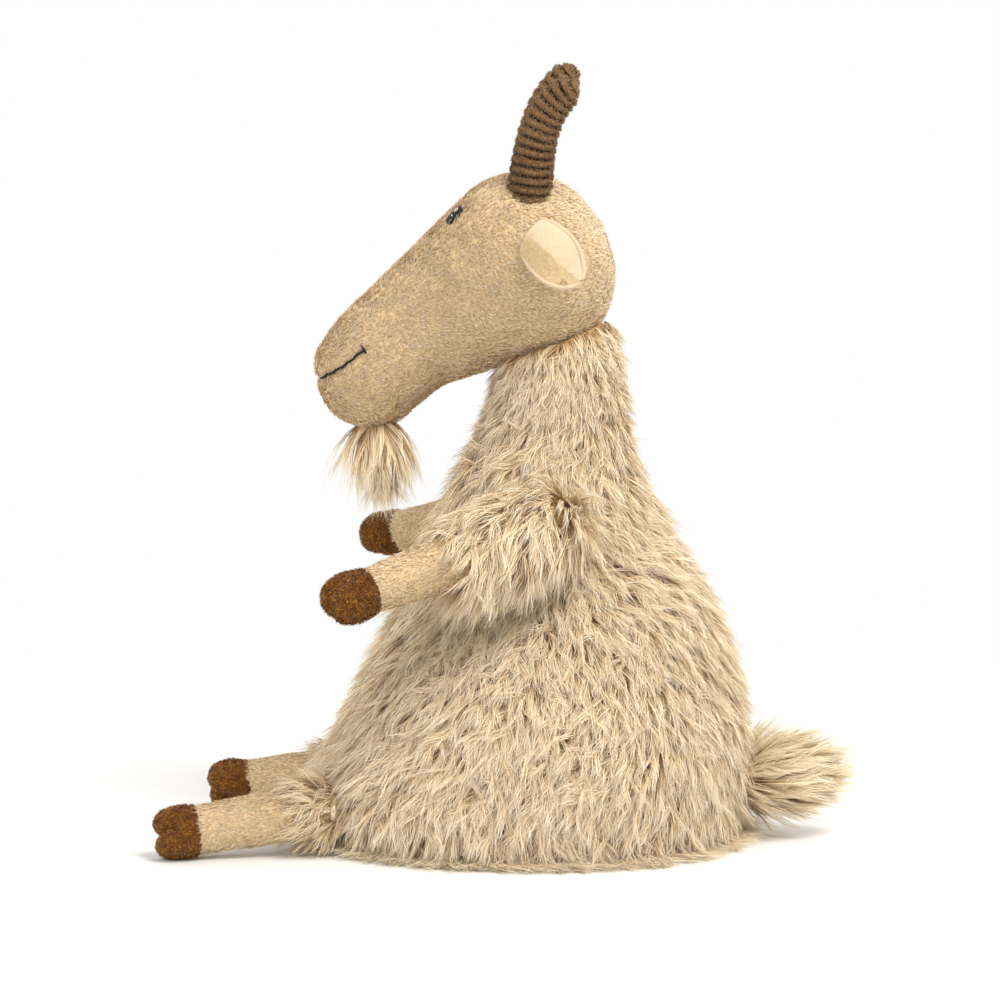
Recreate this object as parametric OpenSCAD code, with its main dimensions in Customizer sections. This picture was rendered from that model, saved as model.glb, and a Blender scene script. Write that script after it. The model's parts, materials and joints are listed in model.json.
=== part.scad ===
// Seated plush goat: a sewn and stuffed soft toy that sits with its legs stretched out in front.
// +Z is up, the goat faces -Y and its left side is +X. It sits on the XY plane, and the origin is
// the middle of its seat. Fur panels include the depth of their pile.

/* [Torso] */
// Widest half width of the body, near the seat
seat_half_w = 84; // [80:1:88]
// Half width of the neck where the head sits
neck_half_w = 27; // [25:1:29]
// Depth of the long pile together with its backing
fur_wall = 7; // [6:0.5:8]
// Thickness of the base panel
base_t = 1.6; // [1.2:0.2:2]
// Radius of the bean pouch in the seat
pouch_r = 46; // [40:1:50]

/* [Head] */
// Height of the middle of the skull, which the head nods about
skull_z = 228; // [227:0.5:229]
// Forward tilt of the muzzle below level
muzzle_tilt = 28.5; // [26:0.5:30]
// Thickness of the short pile plush
plush_wall = 1.6; // [1.2:0.1:1.8]
// Radius of an embroidered eye
eye_r = 3.6; // [3:0.1:4]

/* [Horns] */
// Radius of a horn at its root
horn_root_r = 9.2; // [8.4:0.2:9.6]
// Radius of a horn near its tip
horn_tip_r = 5.6; // [5:0.2:6]
// Length of the left horn along its curve
horn_left_len = 65; // [61:1:67]
// Length of the right horn along its curve, which stands a little taller
horn_right_len = 71.5; // [68:0.5:74]

/* [Ears] */
// Length of an ear from root to tip
ear_len = 29; // [26:1:32]
// Half width of an ear at its widest
ear_half_w = 11; // [10:0.5:12]

/* [Arms] */
// Radius of the fur shoulder ball
shoulder_r = 16; // [15:0.5:16.5]
// Radius of a forearm at its hoof
forearm_r = 8.8; // [8.4:0.1:9.2]
// Radius of a forearm where it comes out of its sleeve
forearm_root_r = 10.4; // [10:0.1:10.8]
// Distance from shoulder to hoof tip
arm_len = 98; // [94:1:102]

/* [Legs] */
// Radius of the hip ball
hip_r = 10.8; // [10.4:0.1:11]
// Radius of a shin at the hoof
shin_r = 9.6; // [9:0.1:9.7]
// Distance from hip to hoof tip
leg_len = 65; // [62:1:67]

/* [Tail and beard] */
// Length of the tail tuft beyond its root
tail_len = 43; // [40:1:45]
// Length of the beard below the chin
beard_len = 37; // [34:1:39]

/* [Hidden] */
$fn = 48;

LEFT = 1;
RIGHT = -1;

// Clearance round a moving joint, and between a cover and what fills it
joint_gap = 0.7;
fill_gap = 0.2;

// Colours of the fabrics
fur_colour = [0.90, 0.82, 0.66];
plush_colour = [0.91, 0.83, 0.68];
ear_colour = [0.94, 0.87, 0.77];
horn_colour = [0.47, 0.37, 0.26];
hoof_colour = [0.45, 0.28, 0.11];
thread_colour = [0.06, 0.05, 0.05];
glint_colour = [0.93, 0.90, 0.85];
fill_colour = [0.97, 0.97, 0.96];
pouch_colour = [0.85, 0.85, 0.82];
bean_colour = [0.80, 0.82, 0.80];

// ---- Smooth rows of numbers -------------------------------------------------------------

// Rows start with their key; row_at blends them smoothly at any key between the first and last.
function key_before(rows, key, i = 0) =
    i >= len(rows) - 2 || key < rows[i + 1][0] ? i : key_before(rows, key, i + 1);
function row_slope(rows, i) =
    let (a = rows[max(i - 1, 0)], b = rows[min(i + 1, len(rows) - 1)]) (b - a) / (b[0] - a[0]);
function row_at(rows, key) =
    let (i = key_before(rows, key), a = rows[i], b = rows[i + 1],
         step = b[0] - a[0], t = (key - a[0]) / step)
    a * (2 * t ^ 3 - 3 * t ^ 2 + 1) + row_slope(rows, i) * step * (t ^ 3 - 2 * t ^ 2 + t)
    + b * (3 * t ^ 2 - 2 * t ^ 3) + row_slope(rows, i + 1) * step * (t ^ 3 - t ^ 2);

// Sine or cosine flattened into a squarer oval
oval_power = 0.92;
function squared(c) = sign(c) * abs(c) ^ oval_power;
function smooth_step(t) = let (k = min(max(t, 0), 1)) k * k * (3 - 2 * k);

// ---- Solids made from grids of points ---------------------------------------------------

// Two triangles, clockwise as seen from outside
function quad(a, b, c, d) = [[a, c, b], [a, d, c]];

// A closed sheet between an outer and an inner grid of the same size
module sheet(outer, inner) {
    rows = len(outer);
    cols = len(outer[0]);
    function id(side, r, c) = side * rows * cols + r * cols + c;
    last_r = rows - 1;
    last_c = cols - 1;
    polyhedron(
        points = concat([for (row = outer) each row], [for (row = inner) each row]),
        faces = concat(
            [for (r = [0:last_r - 1], c = [0:last_c - 1])
                each quad(id(0, r, c), id(0, r, c + 1), id(0, r + 1, c + 1), id(0, r + 1, c))],
            [for (r = [0:last_r - 1], c = [0:last_c - 1])
                each quad(id(1, r, c), id(1, r + 1, c), id(1, r + 1, c + 1), id(1, r, c + 1))],
            [for (c = [0:last_c - 1])
                each quad(id(0, 0, c + 1), id(0, 0, c), id(1, 0, c), id(1, 0, c + 1))],
            [for (c = [0:last_c - 1])
                each quad(id(0, last_r, c), id(0, last_r, c + 1),
                          id(1, last_r, c + 1), id(1, last_r, c))],
            [for (r = [0:last_r - 1])
                each quad(id(0, r, 0), id(0, r + 1, 0), id(1, r + 1, 0), id(1, r, 0))],
            [for (r = [0:last_r - 1])
                each quad(id(0, r + 1, last_c), id(0, r, last_c),
                          id(1, r, last_c), id(1, r + 1, last_c))]));
}

// A solid through closed rings of points, capped at both ends
module loft(rings) {
    count = len(rings);
    n = len(rings[0]);
    function middle(ring) = ([for (p = ring) 1] * ring) / n;
    function id(r, c) = r * n + c % n;
    start = count * n;
    polyhedron(
        points = concat([for (ring = rings) each ring],
                        [middle(rings[0]), middle(rings[count - 1])]),
        faces = concat(
            [for (r = [0:count - 2], c = [0:n - 1])
                each quad(id(r, c), id(r, c + 1), id(r + 1, c + 1), id(r + 1, c))],
            [for (c = [0:n - 1]) [start, id(0, c), id(0, c + 1)]],
            [for (c = [0:n - 1]) [start + 1, id(count - 1, c + 1), id(count - 1, c)]]));
}

// Children drawn along +Z from the origin are moved to run from a point along a direction
module along(from, direction) {
    d = direction / norm(direction);
    translate(from) rotate([0, acos(d.z), atan2(d.y, d.x)]) children();
}

// The quarter of a ball's outline behind its middle, as [radius, height] points
function ball_back(r, steps = 8) =
    [for (i = [0:steps]) let (a = -90 + 90 * i / steps) [r * cos(a), r * sin(a)]];
function reversed(points) = [for (i = [len(points) - 1:-1:0]) points[i]];

// ---- Torso --------------------------------------------------------------------------------

// Rows of the torso: height, front, back, half width
torso_rows = [[0, -78, 84, seat_half_w - 7],
              [7, -84, 88, seat_half_w - 4],
              [20, -86, 91, seat_half_w],
              [45, -73, 92, seat_half_w - 1],
              [70, -61, 87, seat_half_w - 11],
              [95, -47, 77, seat_half_w - 28],
              [120, -36, 63, neck_half_w + 14],
              [145, -26, 50, neck_half_w + 6],
              [170, -18, 44, neck_half_w + 2],
              [192, -12, 41, neck_half_w]];
torso_levels = [0, 3, 8, 16, 26, 38, 52, 66, 80, 94, 108, 122, 138, 154, 170, 182, 192];

// The neck opening slopes up towards the back of the head
neck_slope = 0.48;
neck_slope_start = 140;

function torso_point(z, angle, inset) =
    let (row = row_at(torso_rows, z),
         half_d = (row[2] - row[1]) / 2 - inset,
         dy = half_d * squared(sin(angle)),
         slope = neck_slope * smooth_step((z - neck_slope_start) / (192 - neck_slope_start)))
    [(row[3] - inset) * squared(cos(angle)), (row[1] + row[2]) / 2 + dy, z + slope * dy];

function torso_grid(from, to, inset, columns) =
    [for (z = torso_levels)
        [for (i = [0:columns]) torso_point(z, from + (to - from) * i / columns, inset)]];

// Where the other bodies turn
skull_centre = [0, 3, skull_z];
skull_cup_r = 39.3;
function shoulder(side) = [side * 50, 14, 128.5];
function hip(side) = side == LEFT ? [50, -75, 16.5] : [-50, -76.5, 15.5];
tail_root = [0, 89, 23];
tail_ball_r = 11;
beard_root = [0, -60, 163.5];
beard_ball_r = 5;

// The hollows in which the head, arms, legs and tail turn
module joint_hollows() {
    translate(skull_centre) sphere(skull_cup_r);
    for (side = [LEFT, RIGHT]) {
        translate(shoulder(side)) sphere(shoulder_r + joint_gap);
        sleeve_sweep(side);
        translate(hip(side)) sphere(hip_r + joint_gap);
    }
    translate(tail_root) sphere(tail_ball_r + joint_gap);
}

// The way each arm points: forwards and outwards, the right one a little higher
arm_left_way = [47, -75, -24];
arm_right_way = [-38, -75, -16];
function arm_way(side) = side == LEFT ? arm_left_way : arm_right_way;
// An arm turns about the level line square to it
function arm_axis(side) = let (w = arm_way(side)) [-w.y, w.x, 0] / norm([w.x, w.y]);
arm_highest = -40;
arm_lowest = 25;
arm_core_r = 10.5;
cuff_at = 39;

// The outside of a sleeve, as [radius, height] points
function sleeve_outline(gap) =
    [[shoulder_r - 0.2 + gap, 6], [shoulder_r - 0.4 + gap, 14], [shoulder_r - 1 + gap, 24],
     [forearm_root_r + 3.4 + gap, 33], [forearm_root_r + 2.2 + gap, cuff_at]];

// The room in the fur that a sleeve needs as it swings
sweep_spare = 2;
module sleeve_sweep(side) {
    first = arm_highest - sweep_spare;
    step = (arm_lowest + sweep_spare - first) / 5;
    module turned(angle) {
        translate(shoulder(side)) rotate(a = angle, v = arm_axis(side))
            along([0, 0, 0], arm_way(side)) rotate_extrude($fn = 32)
                polygon(concat([[0, 0], [shoulder_r + joint_gap, 2]], sleeve_outline(joint_gap),
                               [[0, cuff_at + joint_gap]]));
    }
    for (i = [0:4]) hull() {
        turned(first + i * step);
        turned(first + (i + 1) * step);
    }
}

module torso_panel(from, to, columns = 6) {
    color(fur_colour) difference() {
        sheet(torso_grid(from, to, 0, columns), torso_grid(from, to, fur_wall, columns));
        joint_hollows();
    }
}

// Panel edges, as angles round the body: 0 is its left side and -90 is its front
belly_half = 30;
side_seam = 30;
module torso_front_panel() torso_panel(-90 - belly_half, -90 + belly_half);
module torso_left_panel() torso_panel(-90 + belly_half, side_seam, 9);
module torso_right_panel() torso_panel(180 - side_seam, 270 - belly_half, 9);
module torso_back_left_panel() torso_panel(side_seam, 90);
module torso_back_right_panel() torso_panel(90, 180 - side_seam);

base_edges = 48;
module base_panel() {
    color(fur_colour) linear_extrude(base_t)
        polygon([for (i = [0:base_edges - 1])
            let (p = torso_point(0, 360 * i / base_edges, fur_wall + fill_gap)) [p.x, p.y]]);
}

pouch_z = 3;
pouch_h = 21;
pouch_centre_y = 5;
// Outline of the flattened pouch, as [radius, height] points with a rounded edge
function pouch_outline(inset) =
    let (half = pouch_h / 2 - inset, r = pouch_r - inset)
    concat([[0, -half]],
           [for (a = [-90:15:90]) [r - half + half * cos(a), half * sin(a)]],
           [[0, half]]);
module pouch_shape(inset) {
    translate([0, pouch_centre_y, pouch_z + pouch_h / 2])
        rotate_extrude() polygon(pouch_outline(inset));
}
pouch_cloth = 0.8;
module bean_pouch() {
    color(pouch_colour) difference() {
        pouch_shape(0);
        pouch_shape(pouch_cloth);
    }
}
module bean_fill() color(bean_colour) pouch_shape(pouch_cloth + fill_gap);

// The stuffing's flat facets stay clear of those of the panels
stuffing_inset = fur_wall + 0.6;
stuffing_columns = 24;
module torso_stuffing() {
    levels = concat([base_t + fill_gap], [for (z = torso_levels) if (z > base_t + 2) z]);
    color(fill_colour) difference() {
        loft([for (z = levels)
            [for (i = [0:stuffing_columns - 1])
                torso_point(z, 360 * i / stuffing_columns, stuffing_inset)]]);
        joint_hollows();
        pouch_shape(-fill_gap);
        // The pouch rests on the base panel, so the stuffing is open below it
        translate([0, pouch_centre_y, 0]) cylinder(r = pouch_r - pouch_h / 2, h = pouch_z + pouch_h / 2);
    }
}

// A ladder of short stitches that closes the middle back seam
stitch_r = 0.4;
stitch_half = 2.2;
module closing_stitches() {
    color(glint_colour) for (z = [52:7:101]) {
        p = torso_point(z, 90, fur_wall - 2);
        translate([-stitch_half, p.y, p.z]) rotate([0, 90, 0])
            cylinder(r = stitch_r, h = 2 * stitch_half, $fn = 16);
    }
}

// ---- Head ---------------------------------------------------------------------------------

// Rows along the head's own axis from nose to skull: distance, middle, half height, half width
head_rows = [[-3, -8, 0.6, 0.6],
             [-1.5, -8, 7, 6],
             [2.7, -6.4, 15, 12.5],
             [8, -7.2, 19.4, 16.5],
             [19, -5.8, 23.3, 19.5],
             [31, -2.9, 23.8, 20.5],
             [42, -0.6, 24.6, 21.5],
             [57, 0.1, 27.9, 24.5],
             [73, 0.9, 31.7, 29.5],
             [90, 0.3, 36.5, 35],
             [103, 0, 35.8, 35.2],
             [116, 0, 28, 28],
             [124, 0, 17, 17],
             [127.8, 0, 0.6, 0.6]];
head_marks = [-3, -1.5, 2.7, 8, 14, 22, 31, 42, 54, 66, 78, 90, 100, 109, 117, 123, 126.4, 127.8];
nose_to_skull = 94.4;
head_end = 127.8;
head_start = -3;
smallest_ring = 0.25;

function head_point(mark, angle, inset) =
    let (total = head_end - head_start,
         s = head_start + inset + (mark - head_start) * (total - 2 * inset) / total,
         row = row_at(head_rows, min(max(s, head_start), head_end)),
         t = row[1] + max(row[2] - inset, smallest_ring) * squared(sin(angle)),
         back = s - nose_to_skull)
    [max(row[3] - inset, smallest_ring) * squared(cos(angle)),
     skull_centre.y + back * cos(muzzle_tilt) - t * sin(muzzle_tilt),
     skull_centre.z + back * sin(muzzle_tilt) + t * cos(muzzle_tilt)];

function head_grid(from, to, inset, columns) =
    [for (s = head_marks)
        [for (i = [0:columns]) head_point(s, from + (to - from) * i / columns, inset)]];

head_columns = 24;
module head_solid(inset) {
    loft([for (s = head_marks)
        [for (i = [0:head_columns - 1]) head_point(s, -360 * i / head_columns, inset)]]);
}

module beard_hollow() translate(beard_root) sphere(beard_ball_r + joint_gap);

module head_panel(from, to, columns) {
    color(plush_colour) difference() {
        sheet(head_grid(from, to, 0, columns), head_grid(from, to, plush_wall, columns));
        beard_hollow();
    }
}
gusset_half = 30;
module head_left_panel() head_panel(90, -90 + gusset_half, 10);
module head_right_panel() mirror([1, 0, 0]) head_left_panel();
module jaw_gusset() head_panel(270 + gusset_half, 270 - gusset_half, 4);
module head_stuffing() {
    color(fill_colour) difference() {
        head_solid(plush_wall + fill_gap);
        beard_hollow();
    }
}

// Embroidery lies on the plush: the skin of the head cut to the shape of the thread
embroidery_t = 0.6;
skin_gap = 0.04;
module embroidery_skin(height) {
    difference() {
        head_solid(-height);
        head_solid(-skin_gap);
    }
}

eye_mark = 79.5;
eye_angle = 62;
glint_r = 0.9;
function eye_place(side) = let (p = head_point(eye_mark, eye_angle, 0)) [side * p.x, p.y, p.z];
function glint_place(side) = eye_place(side) + [side * 0.4, 1.4, 1.4];
module eye(side) {
    color(thread_colour) intersection() {
        embroidery_skin(embroidery_t);
        difference() {
            translate(eye_place(side)) sphere(eye_r);
            translate(glint_place(side)) sphere(glint_r + 0.1);
        }
    }
}
module glint(side) {
    color(glint_colour) intersection() {
        embroidery_skin(embroidery_t);
        translate(glint_place(side)) sphere(glint_r);
    }
}
module eye_left() eye(LEFT);
module eye_right() eye(RIGHT);
module eye_left_glint() glint(LEFT);
module eye_right_glint() glint(RIGHT);

// The smile is an arc seen from the side, which wraps round the muzzle
smile_centre = [-98, 233];
smile_r = 53;
smile_from = -69;
smile_to = -45;
thread_w = 1.3;
module smile_outline() {
    function arc(r) = [for (i = [0:10])
        let (a = smile_from + (smile_to - smile_from) * i / 10)
        smile_centre + r * [cos(a), sin(a)]];
    polygon(concat(arc(smile_r + thread_w / 2), reversed(arc(smile_r - thread_w / 2))));
}
muzzle_reach = 30;
module mouth_stitching() {
    color(thread_colour) intersection() {
        embroidery_skin(embroidery_t);
        translate([-muzzle_reach, 0, 0]) rotate([90, 0, 90])
            linear_extrude(2 * muzzle_reach) smile_outline();
    }
}

// ---- Horns --------------------------------------------------------------------------------

// A horn starts inside the skull, which cuts it off at its own surface; the right one is set forward
function horn_base(side) = [side * 19, side == LEFT ? 4 : 2, 240];
horn_steps = 14;
horn_columns = 16;
horn_lean = 3;
horn_curl_left = 63;
horn_curl_right = 56;

// Backward bend of the horn at a fraction of its length
function horn_bend(curl, q) = horn_lean + curl * q ^ 3;
// Middle of the horn at a step, found by walking along it
function horn_walk(length, curl, i) =
    i == 0 ? [0, 0, 0] :
    let (a = horn_bend(curl, (i - 0.5) / horn_steps))
    horn_walk(length, curl, i - 1) + length / horn_steps * [0, sin(a), cos(a)];
function horn_radius(q) =
    let (r = horn_root_r + (horn_tip_r - horn_root_r) * q, from_end = min((1 - q) / 0.1, 1))
    r * sqrt(max(1 - (1 - from_end) ^ 2, 0.04));

module horn_shape(side, length, curl, inset) {
    loft([for (i = [0:horn_steps])
        let (q = i / horn_steps, a = horn_bend(curl, q),
             middle = horn_walk(length - inset, curl, i),
             r = max(horn_radius(q) - inset, smallest_ring))
        [for (k = [0:horn_columns - 1])
            let (u = 360 * k / horn_columns)
            horn_base(side) + [r * cos(u), middle.y + r * sin(u) * cos(a),
                               middle.z - r * sin(u) * sin(a) - (i == 0 ? inset : 0)]]]);
}
horn_wall = 1.4;
module horn_cover(side, length, curl) {
    color(horn_colour) difference() {
        horn_shape(side, length, curl, 0);
        horn_shape(side, length, curl, horn_wall);
        head_solid(-skin_gap);
    }
}
module horn_stuffing(side, length, curl) {
    color(fill_colour) difference() {
        horn_shape(side, length, curl, horn_wall + fill_gap);
        head_solid(-skin_gap);
    }
}
module horn_left_cover() horn_cover(LEFT, horn_left_len, horn_curl_left);
module horn_left_stuffing() horn_stuffing(LEFT, horn_left_len, horn_curl_left);
module horn_right_cover() horn_cover(RIGHT, horn_right_len, horn_curl_right);
module horn_right_stuffing() horn_stuffing(RIGHT, horn_right_len, horn_curl_right);

// ---- Ears ---------------------------------------------------------------------------------

// Middle of the ear's root, the way the root runs down the head, and the way the ear hangs
ear_root = [36.2, 7, 240.5];
ear_root_way = [0.22, -0.55, -0.81] / norm([0.22, -0.55, -0.81]);
ear_hang = [0.43, 0.65, -0.62];
ear_face = cross(ear_root_way, ear_hang) / norm(cross(ear_root_way, ear_hang));
ear_way = cross(ear_face, ear_root_way);
ear_skew = 6;
ear_cup = 3.5;
ear_layer = 1.3;

// Half width of the ear at a fraction of its length: a root, a fuller middle and a round tip
function ear_width(q) = ear_half_w * (0.78 + 0.9 * q * (1 - q)) * sqrt(max(1 - q ^ 4, 0.01));
function ear_point(side, q, v, depth) =
    let (p = ear_root + ear_way * (0.8 + (ear_len - 0.8) * q)
             + ear_root_way * (v * ear_width(q) + ear_skew * q)
             + ear_face * (ear_cup * v * v * q + depth))
    [side * p.x, p.y, p.z];
function ear_grid(side, depth) =
    [for (q = [0, 0.12, 0.28, 0.45, 0.62, 0.78, 0.9, 0.97, 1])
        [for (v = [-1:0.25:1]) ear_point(side, q, side * v, depth)]];
module ear_layer_solid(side, depth) {
    sheet(ear_grid(side, depth + ear_layer / 2), ear_grid(side, depth - ear_layer / 2));
}
module ear_outer(side) color(plush_colour) ear_layer_solid(side, -ear_layer / 2);
module ear_inner(side) color(ear_colour) ear_layer_solid(side, ear_layer / 2);
module ear_left_outer() ear_outer(LEFT);
module ear_left_inner() ear_inner(LEFT);
module ear_right_outer() ear_outer(RIGHT);
module ear_right_inner() ear_inner(RIGHT);

// ---- Beard and tail -------------------------------------------------------------------------

beard_way = [0, 0.07, -1];
beard_half_w = 12;
module beard() {
    color(fur_colour) along(beard_root, beard_way) rotate_extrude()
        polygon(concat(ball_back(beard_ball_r),
                       [[beard_half_w * 0.75, 8], [beard_half_w, 17], [beard_half_w * 0.88, 26],
                        [beard_half_w * 0.5, beard_len - 3], [0, beard_len]]));
}

tail_way = [0, 1, 0.12];
tail_half_w = 15;
function tail_outline(inset) =
    concat(ball_back(tail_ball_r - inset),
           [[tail_ball_r - 1.2 - inset, 5], [tail_ball_r - 0.8 - inset, 9],
            [tail_half_w - 2.2 - inset, 14], [tail_half_w - 0.5 - inset, 21],
            [tail_half_w * 0.8 - inset, 30], [tail_half_w * 0.4 - inset * 0.7, tail_len - 5 - inset],
            [0, tail_len - inset]]);
tail_core_inset = 8;
module tail_fur() {
    color(fur_colour) along(tail_root, tail_way) difference() {
        rotate_extrude() polygon(tail_outline(0));
        tail_core(0);
    }
}
module tail_core(gap) {
    core_r = tail_ball_r - tail_core_inset + 2.5 - gap;
    rotate_extrude() polygon(concat(ball_back(core_r),
        [[core_r + 1, 12], [core_r, 20], [core_r * 0.5, 26 - gap], [0, 27 - gap]]));
}
module tail_stuffing() color(fill_colour) along(tail_root, tail_way) tail_core(fill_gap);

// ---- Arms ---------------------------------------------------------------------------------

hoof_at = 79;
hoof_wall = 1.4;
cover_wall = 1.4;

module arm_sleeve(side, way) {
    color(fur_colour) along(shoulder(side), way) rotate_extrude()
        polygon(concat(ball_back(shoulder_r), sleeve_outline(0),
                       [[forearm_root_r + 0.1, cuff_at], [forearm_root_r + 0.1, 30],
                        [arm_core_r, 22]],
                       reversed(ball_back(arm_core_r))));
}
module arm_forearm(side, way) {
    color(plush_colour) along(shoulder(side), way) rotate_extrude()
        polygon([[forearm_root_r - cover_wall, 30.2], [forearm_root_r, 30.2],
                 [forearm_r - 0.4, hoof_at], [forearm_r - 0.4 - cover_wall, hoof_at]]);
}
// A hoof from its seam to its rounded tip, as [radius, height] points
function hoof_outline(r, from, to, inset) =
    let (length = to - from)
    [[r - 0.4 - inset, from], [r + 0.9 - inset, from + 0.28 * length],
     [r + 0.7 - inset, from + 0.5 * length], [r * 0.87 - inset, from + 0.74 * length],
     [r * 0.55 - inset * 0.7, from + 0.93 * length - inset], [0, to - inset]];
// The stuffing in a hoof ends where its two toes part
toes_part = 0.55;
function hoof_filling(r, from, to) =
    let (length = to - from, fill_r = r - hoof_wall - fill_gap)
    [[fill_r, from + 0.2 * length], [fill_r, from + 0.4 * length],
     [0, from + toes_part * length]];
module hoof(from_point, way, r, from, to) {
    color(hoof_colour) along(from_point, way) rotate_extrude()
        polygon(concat(hoof_outline(r, from, to, 0), reversed(hoof_outline(r, from, to, hoof_wall))));
}
module arm_stuffing(side, way) {
    lining = cover_wall + fill_gap;
    color(fill_colour) along(shoulder(side), way) rotate_extrude()
        polygon(concat(ball_back(arm_core_r - fill_gap),
                       [[arm_core_r - fill_gap, 22], [forearm_root_r - lining, 30.2],
                        [forearm_r - 0.4 - lining, hoof_at]],
                       hoof_filling(forearm_r, hoof_at, arm_len)));
}
module arm_left_sleeve() arm_sleeve(LEFT, arm_left_way);
module arm_left_forearm() arm_forearm(LEFT, arm_left_way);
module arm_left_hoof() hoof(shoulder(LEFT), arm_left_way, forearm_r, hoof_at, arm_len);
module arm_left_stuffing() arm_stuffing(LEFT, arm_left_way);
module arm_right_sleeve() arm_sleeve(RIGHT, arm_right_way);
module arm_right_forearm() arm_forearm(RIGHT, arm_right_way);
module arm_right_hoof() hoof(shoulder(RIGHT), arm_right_way, forearm_r, hoof_at, arm_len);
module arm_right_stuffing() arm_stuffing(RIGHT, arm_right_way);

// ---- Legs ---------------------------------------------------------------------------------

leg_left_way = [16, -56, -6.5];
leg_right_way = [10, -56, -5.5];
leg_hoof_at = 48;
leg_hoof_r = 9.4;
leg_right_short = 8;

module leg_cover(side, way, shorter) {
    at = leg_hoof_at - shorter;
    color(plush_colour) along(hip(side), way) rotate_extrude()
        polygon(concat(ball_back(hip_r),
                       [[hip_r - 0.9, 5], [hip_r - 1.1, 12], [shin_r - 0.4, at],
                        [shin_r - 0.4 - cover_wall, at], [hip_r - 1.1 - cover_wall, 12],
                        [hip_r - 0.9 - cover_wall, 5]],
                       reversed(ball_back(hip_r - cover_wall))));
}
module leg_stuffing(side, way, shorter) {
    at = leg_hoof_at - shorter;
    lining = cover_wall + fill_gap;
    color(fill_colour) along(hip(side), way) rotate_extrude()
        polygon(concat(ball_back(hip_r - lining),
                       [[hip_r - 0.9 - lining, 5], [hip_r - 1.1 - lining, 12],
                        [shin_r - 0.4 - lining, at]],
                       hoof_filling(leg_hoof_r, at, leg_len - shorter)));
}
module leg_left_cover() leg_cover(LEFT, leg_left_way, 0);
module leg_left_hoof() hoof(hip(LEFT), leg_left_way, leg_hoof_r, leg_hoof_at, leg_len);
module leg_left_stuffing() leg_stuffing(LEFT, leg_left_way, 0);
module leg_right_cover() leg_cover(RIGHT, leg_right_way, leg_right_short);
module leg_right_hoof() hoof(hip(RIGHT), leg_right_way, leg_hoof_r,
                             leg_hoof_at - leg_right_short, leg_len - leg_right_short);
module leg_right_stuffing() leg_stuffing(RIGHT, leg_right_way, leg_right_short);

// ---- Drawing -----------------------------------------------------------------------------

torso_front_panel();
torso_left_panel();
torso_right_panel();
torso_back_left_panel();
torso_back_right_panel();
base_panel();
torso_stuffing();
bean_pouch();
bean_fill();
closing_stitches();
head_left_panel();
head_right_panel();
jaw_gusset();
head_stuffing();
horn_left_cover();
horn_left_stuffing();
horn_right_cover();
horn_right_stuffing();
eye_left();
eye_right();
eye_left_glint();
eye_right_glint();
mouth_stitching();
ear_left_outer();
ear_left_inner();
ear_right_outer();
ear_right_inner();
beard();
arm_left_sleeve();
arm_left_forearm();
arm_left_hoof();
arm_left_stuffing();
arm_right_sleeve();
arm_right_forearm();
arm_right_hoof();
arm_right_stuffing();
leg_left_cover();
leg_left_hoof();
leg_left_stuffing();
leg_right_cover();
leg_right_hoof();
leg_right_stuffing();
tail_fur();
tail_stuffing();
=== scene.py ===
"""A seated plush goat: every visible fabric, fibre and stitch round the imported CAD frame.

Shapes are worked out in millimetres, in the frame of the CAD model, and become metres when a mesh is made.
+Z is up, the goat faces -Y and its left side is +X.
"""
import json
import math

import bpy
import numpy as np
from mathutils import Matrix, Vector


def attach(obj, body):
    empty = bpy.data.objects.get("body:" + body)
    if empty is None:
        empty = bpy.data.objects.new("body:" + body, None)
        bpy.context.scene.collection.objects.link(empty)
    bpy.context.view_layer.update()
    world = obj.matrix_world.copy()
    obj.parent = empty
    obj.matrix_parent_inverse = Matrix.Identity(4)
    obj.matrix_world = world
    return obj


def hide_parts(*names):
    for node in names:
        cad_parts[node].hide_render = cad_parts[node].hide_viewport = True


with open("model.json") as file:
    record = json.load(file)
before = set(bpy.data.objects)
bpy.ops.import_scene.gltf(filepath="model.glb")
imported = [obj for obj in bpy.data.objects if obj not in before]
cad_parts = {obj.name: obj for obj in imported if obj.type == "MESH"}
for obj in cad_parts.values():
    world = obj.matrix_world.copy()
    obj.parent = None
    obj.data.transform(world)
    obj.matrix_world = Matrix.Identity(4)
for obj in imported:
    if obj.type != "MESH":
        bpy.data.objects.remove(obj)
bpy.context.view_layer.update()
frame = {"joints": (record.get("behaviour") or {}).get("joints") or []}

MM = 0.001
LEFT, RIGHT = 1, -1
SIDES = {"left": LEFT, "right": RIGHT}
DENSITY = 1.0
FIBRE_WIDER = 1.0

PIVOT = {j["name"]: np.array(j["pos_m"]) / MM for j in frame["joints"]}


# ---- Camera, light and floor ----------------------------------------------------------------

LOOK_AT = Vector((0.0, -0.008, 0.1345))
CAMERA_DISTANCE = 1.4
CAMERA_AZIMUTH = math.radians(94)
CAMERA_ELEVATION = math.radians(5)
VIEW_WIDTH = 0.4


def add_camera():
    data = bpy.data.cameras.new("camera")
    data.sensor_width = 36
    data.lens = data.sensor_width * CAMERA_DISTANCE / VIEW_WIDTH
    camera = bpy.data.objects.new("camera", data)
    bpy.context.collection.objects.link(camera)
    level = math.cos(CAMERA_ELEVATION)
    away = Vector((math.sin(CAMERA_AZIMUTH) * level, -math.cos(CAMERA_AZIMUTH) * level,
                   math.sin(CAMERA_ELEVATION)))
    camera.location = LOOK_AT + away * CAMERA_DISTANCE
    camera.rotation_euler = (-away).to_track_quat("-Z", "Y").to_euler()
    bpy.context.scene.camera = camera


def add_area_light(name, place, size, power, colour):
    data = bpy.data.lights.new(name, "AREA")
    data.shape = "DISK"
    data.size = size
    data.energy = power
    data.color = colour
    light = bpy.data.objects.new(name, data)
    bpy.context.collection.objects.link(light)
    light.location = place
    light.rotation_euler = (LOOK_AT - Vector(place)).to_track_quat("-Z", "Y").to_euler()


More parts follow.
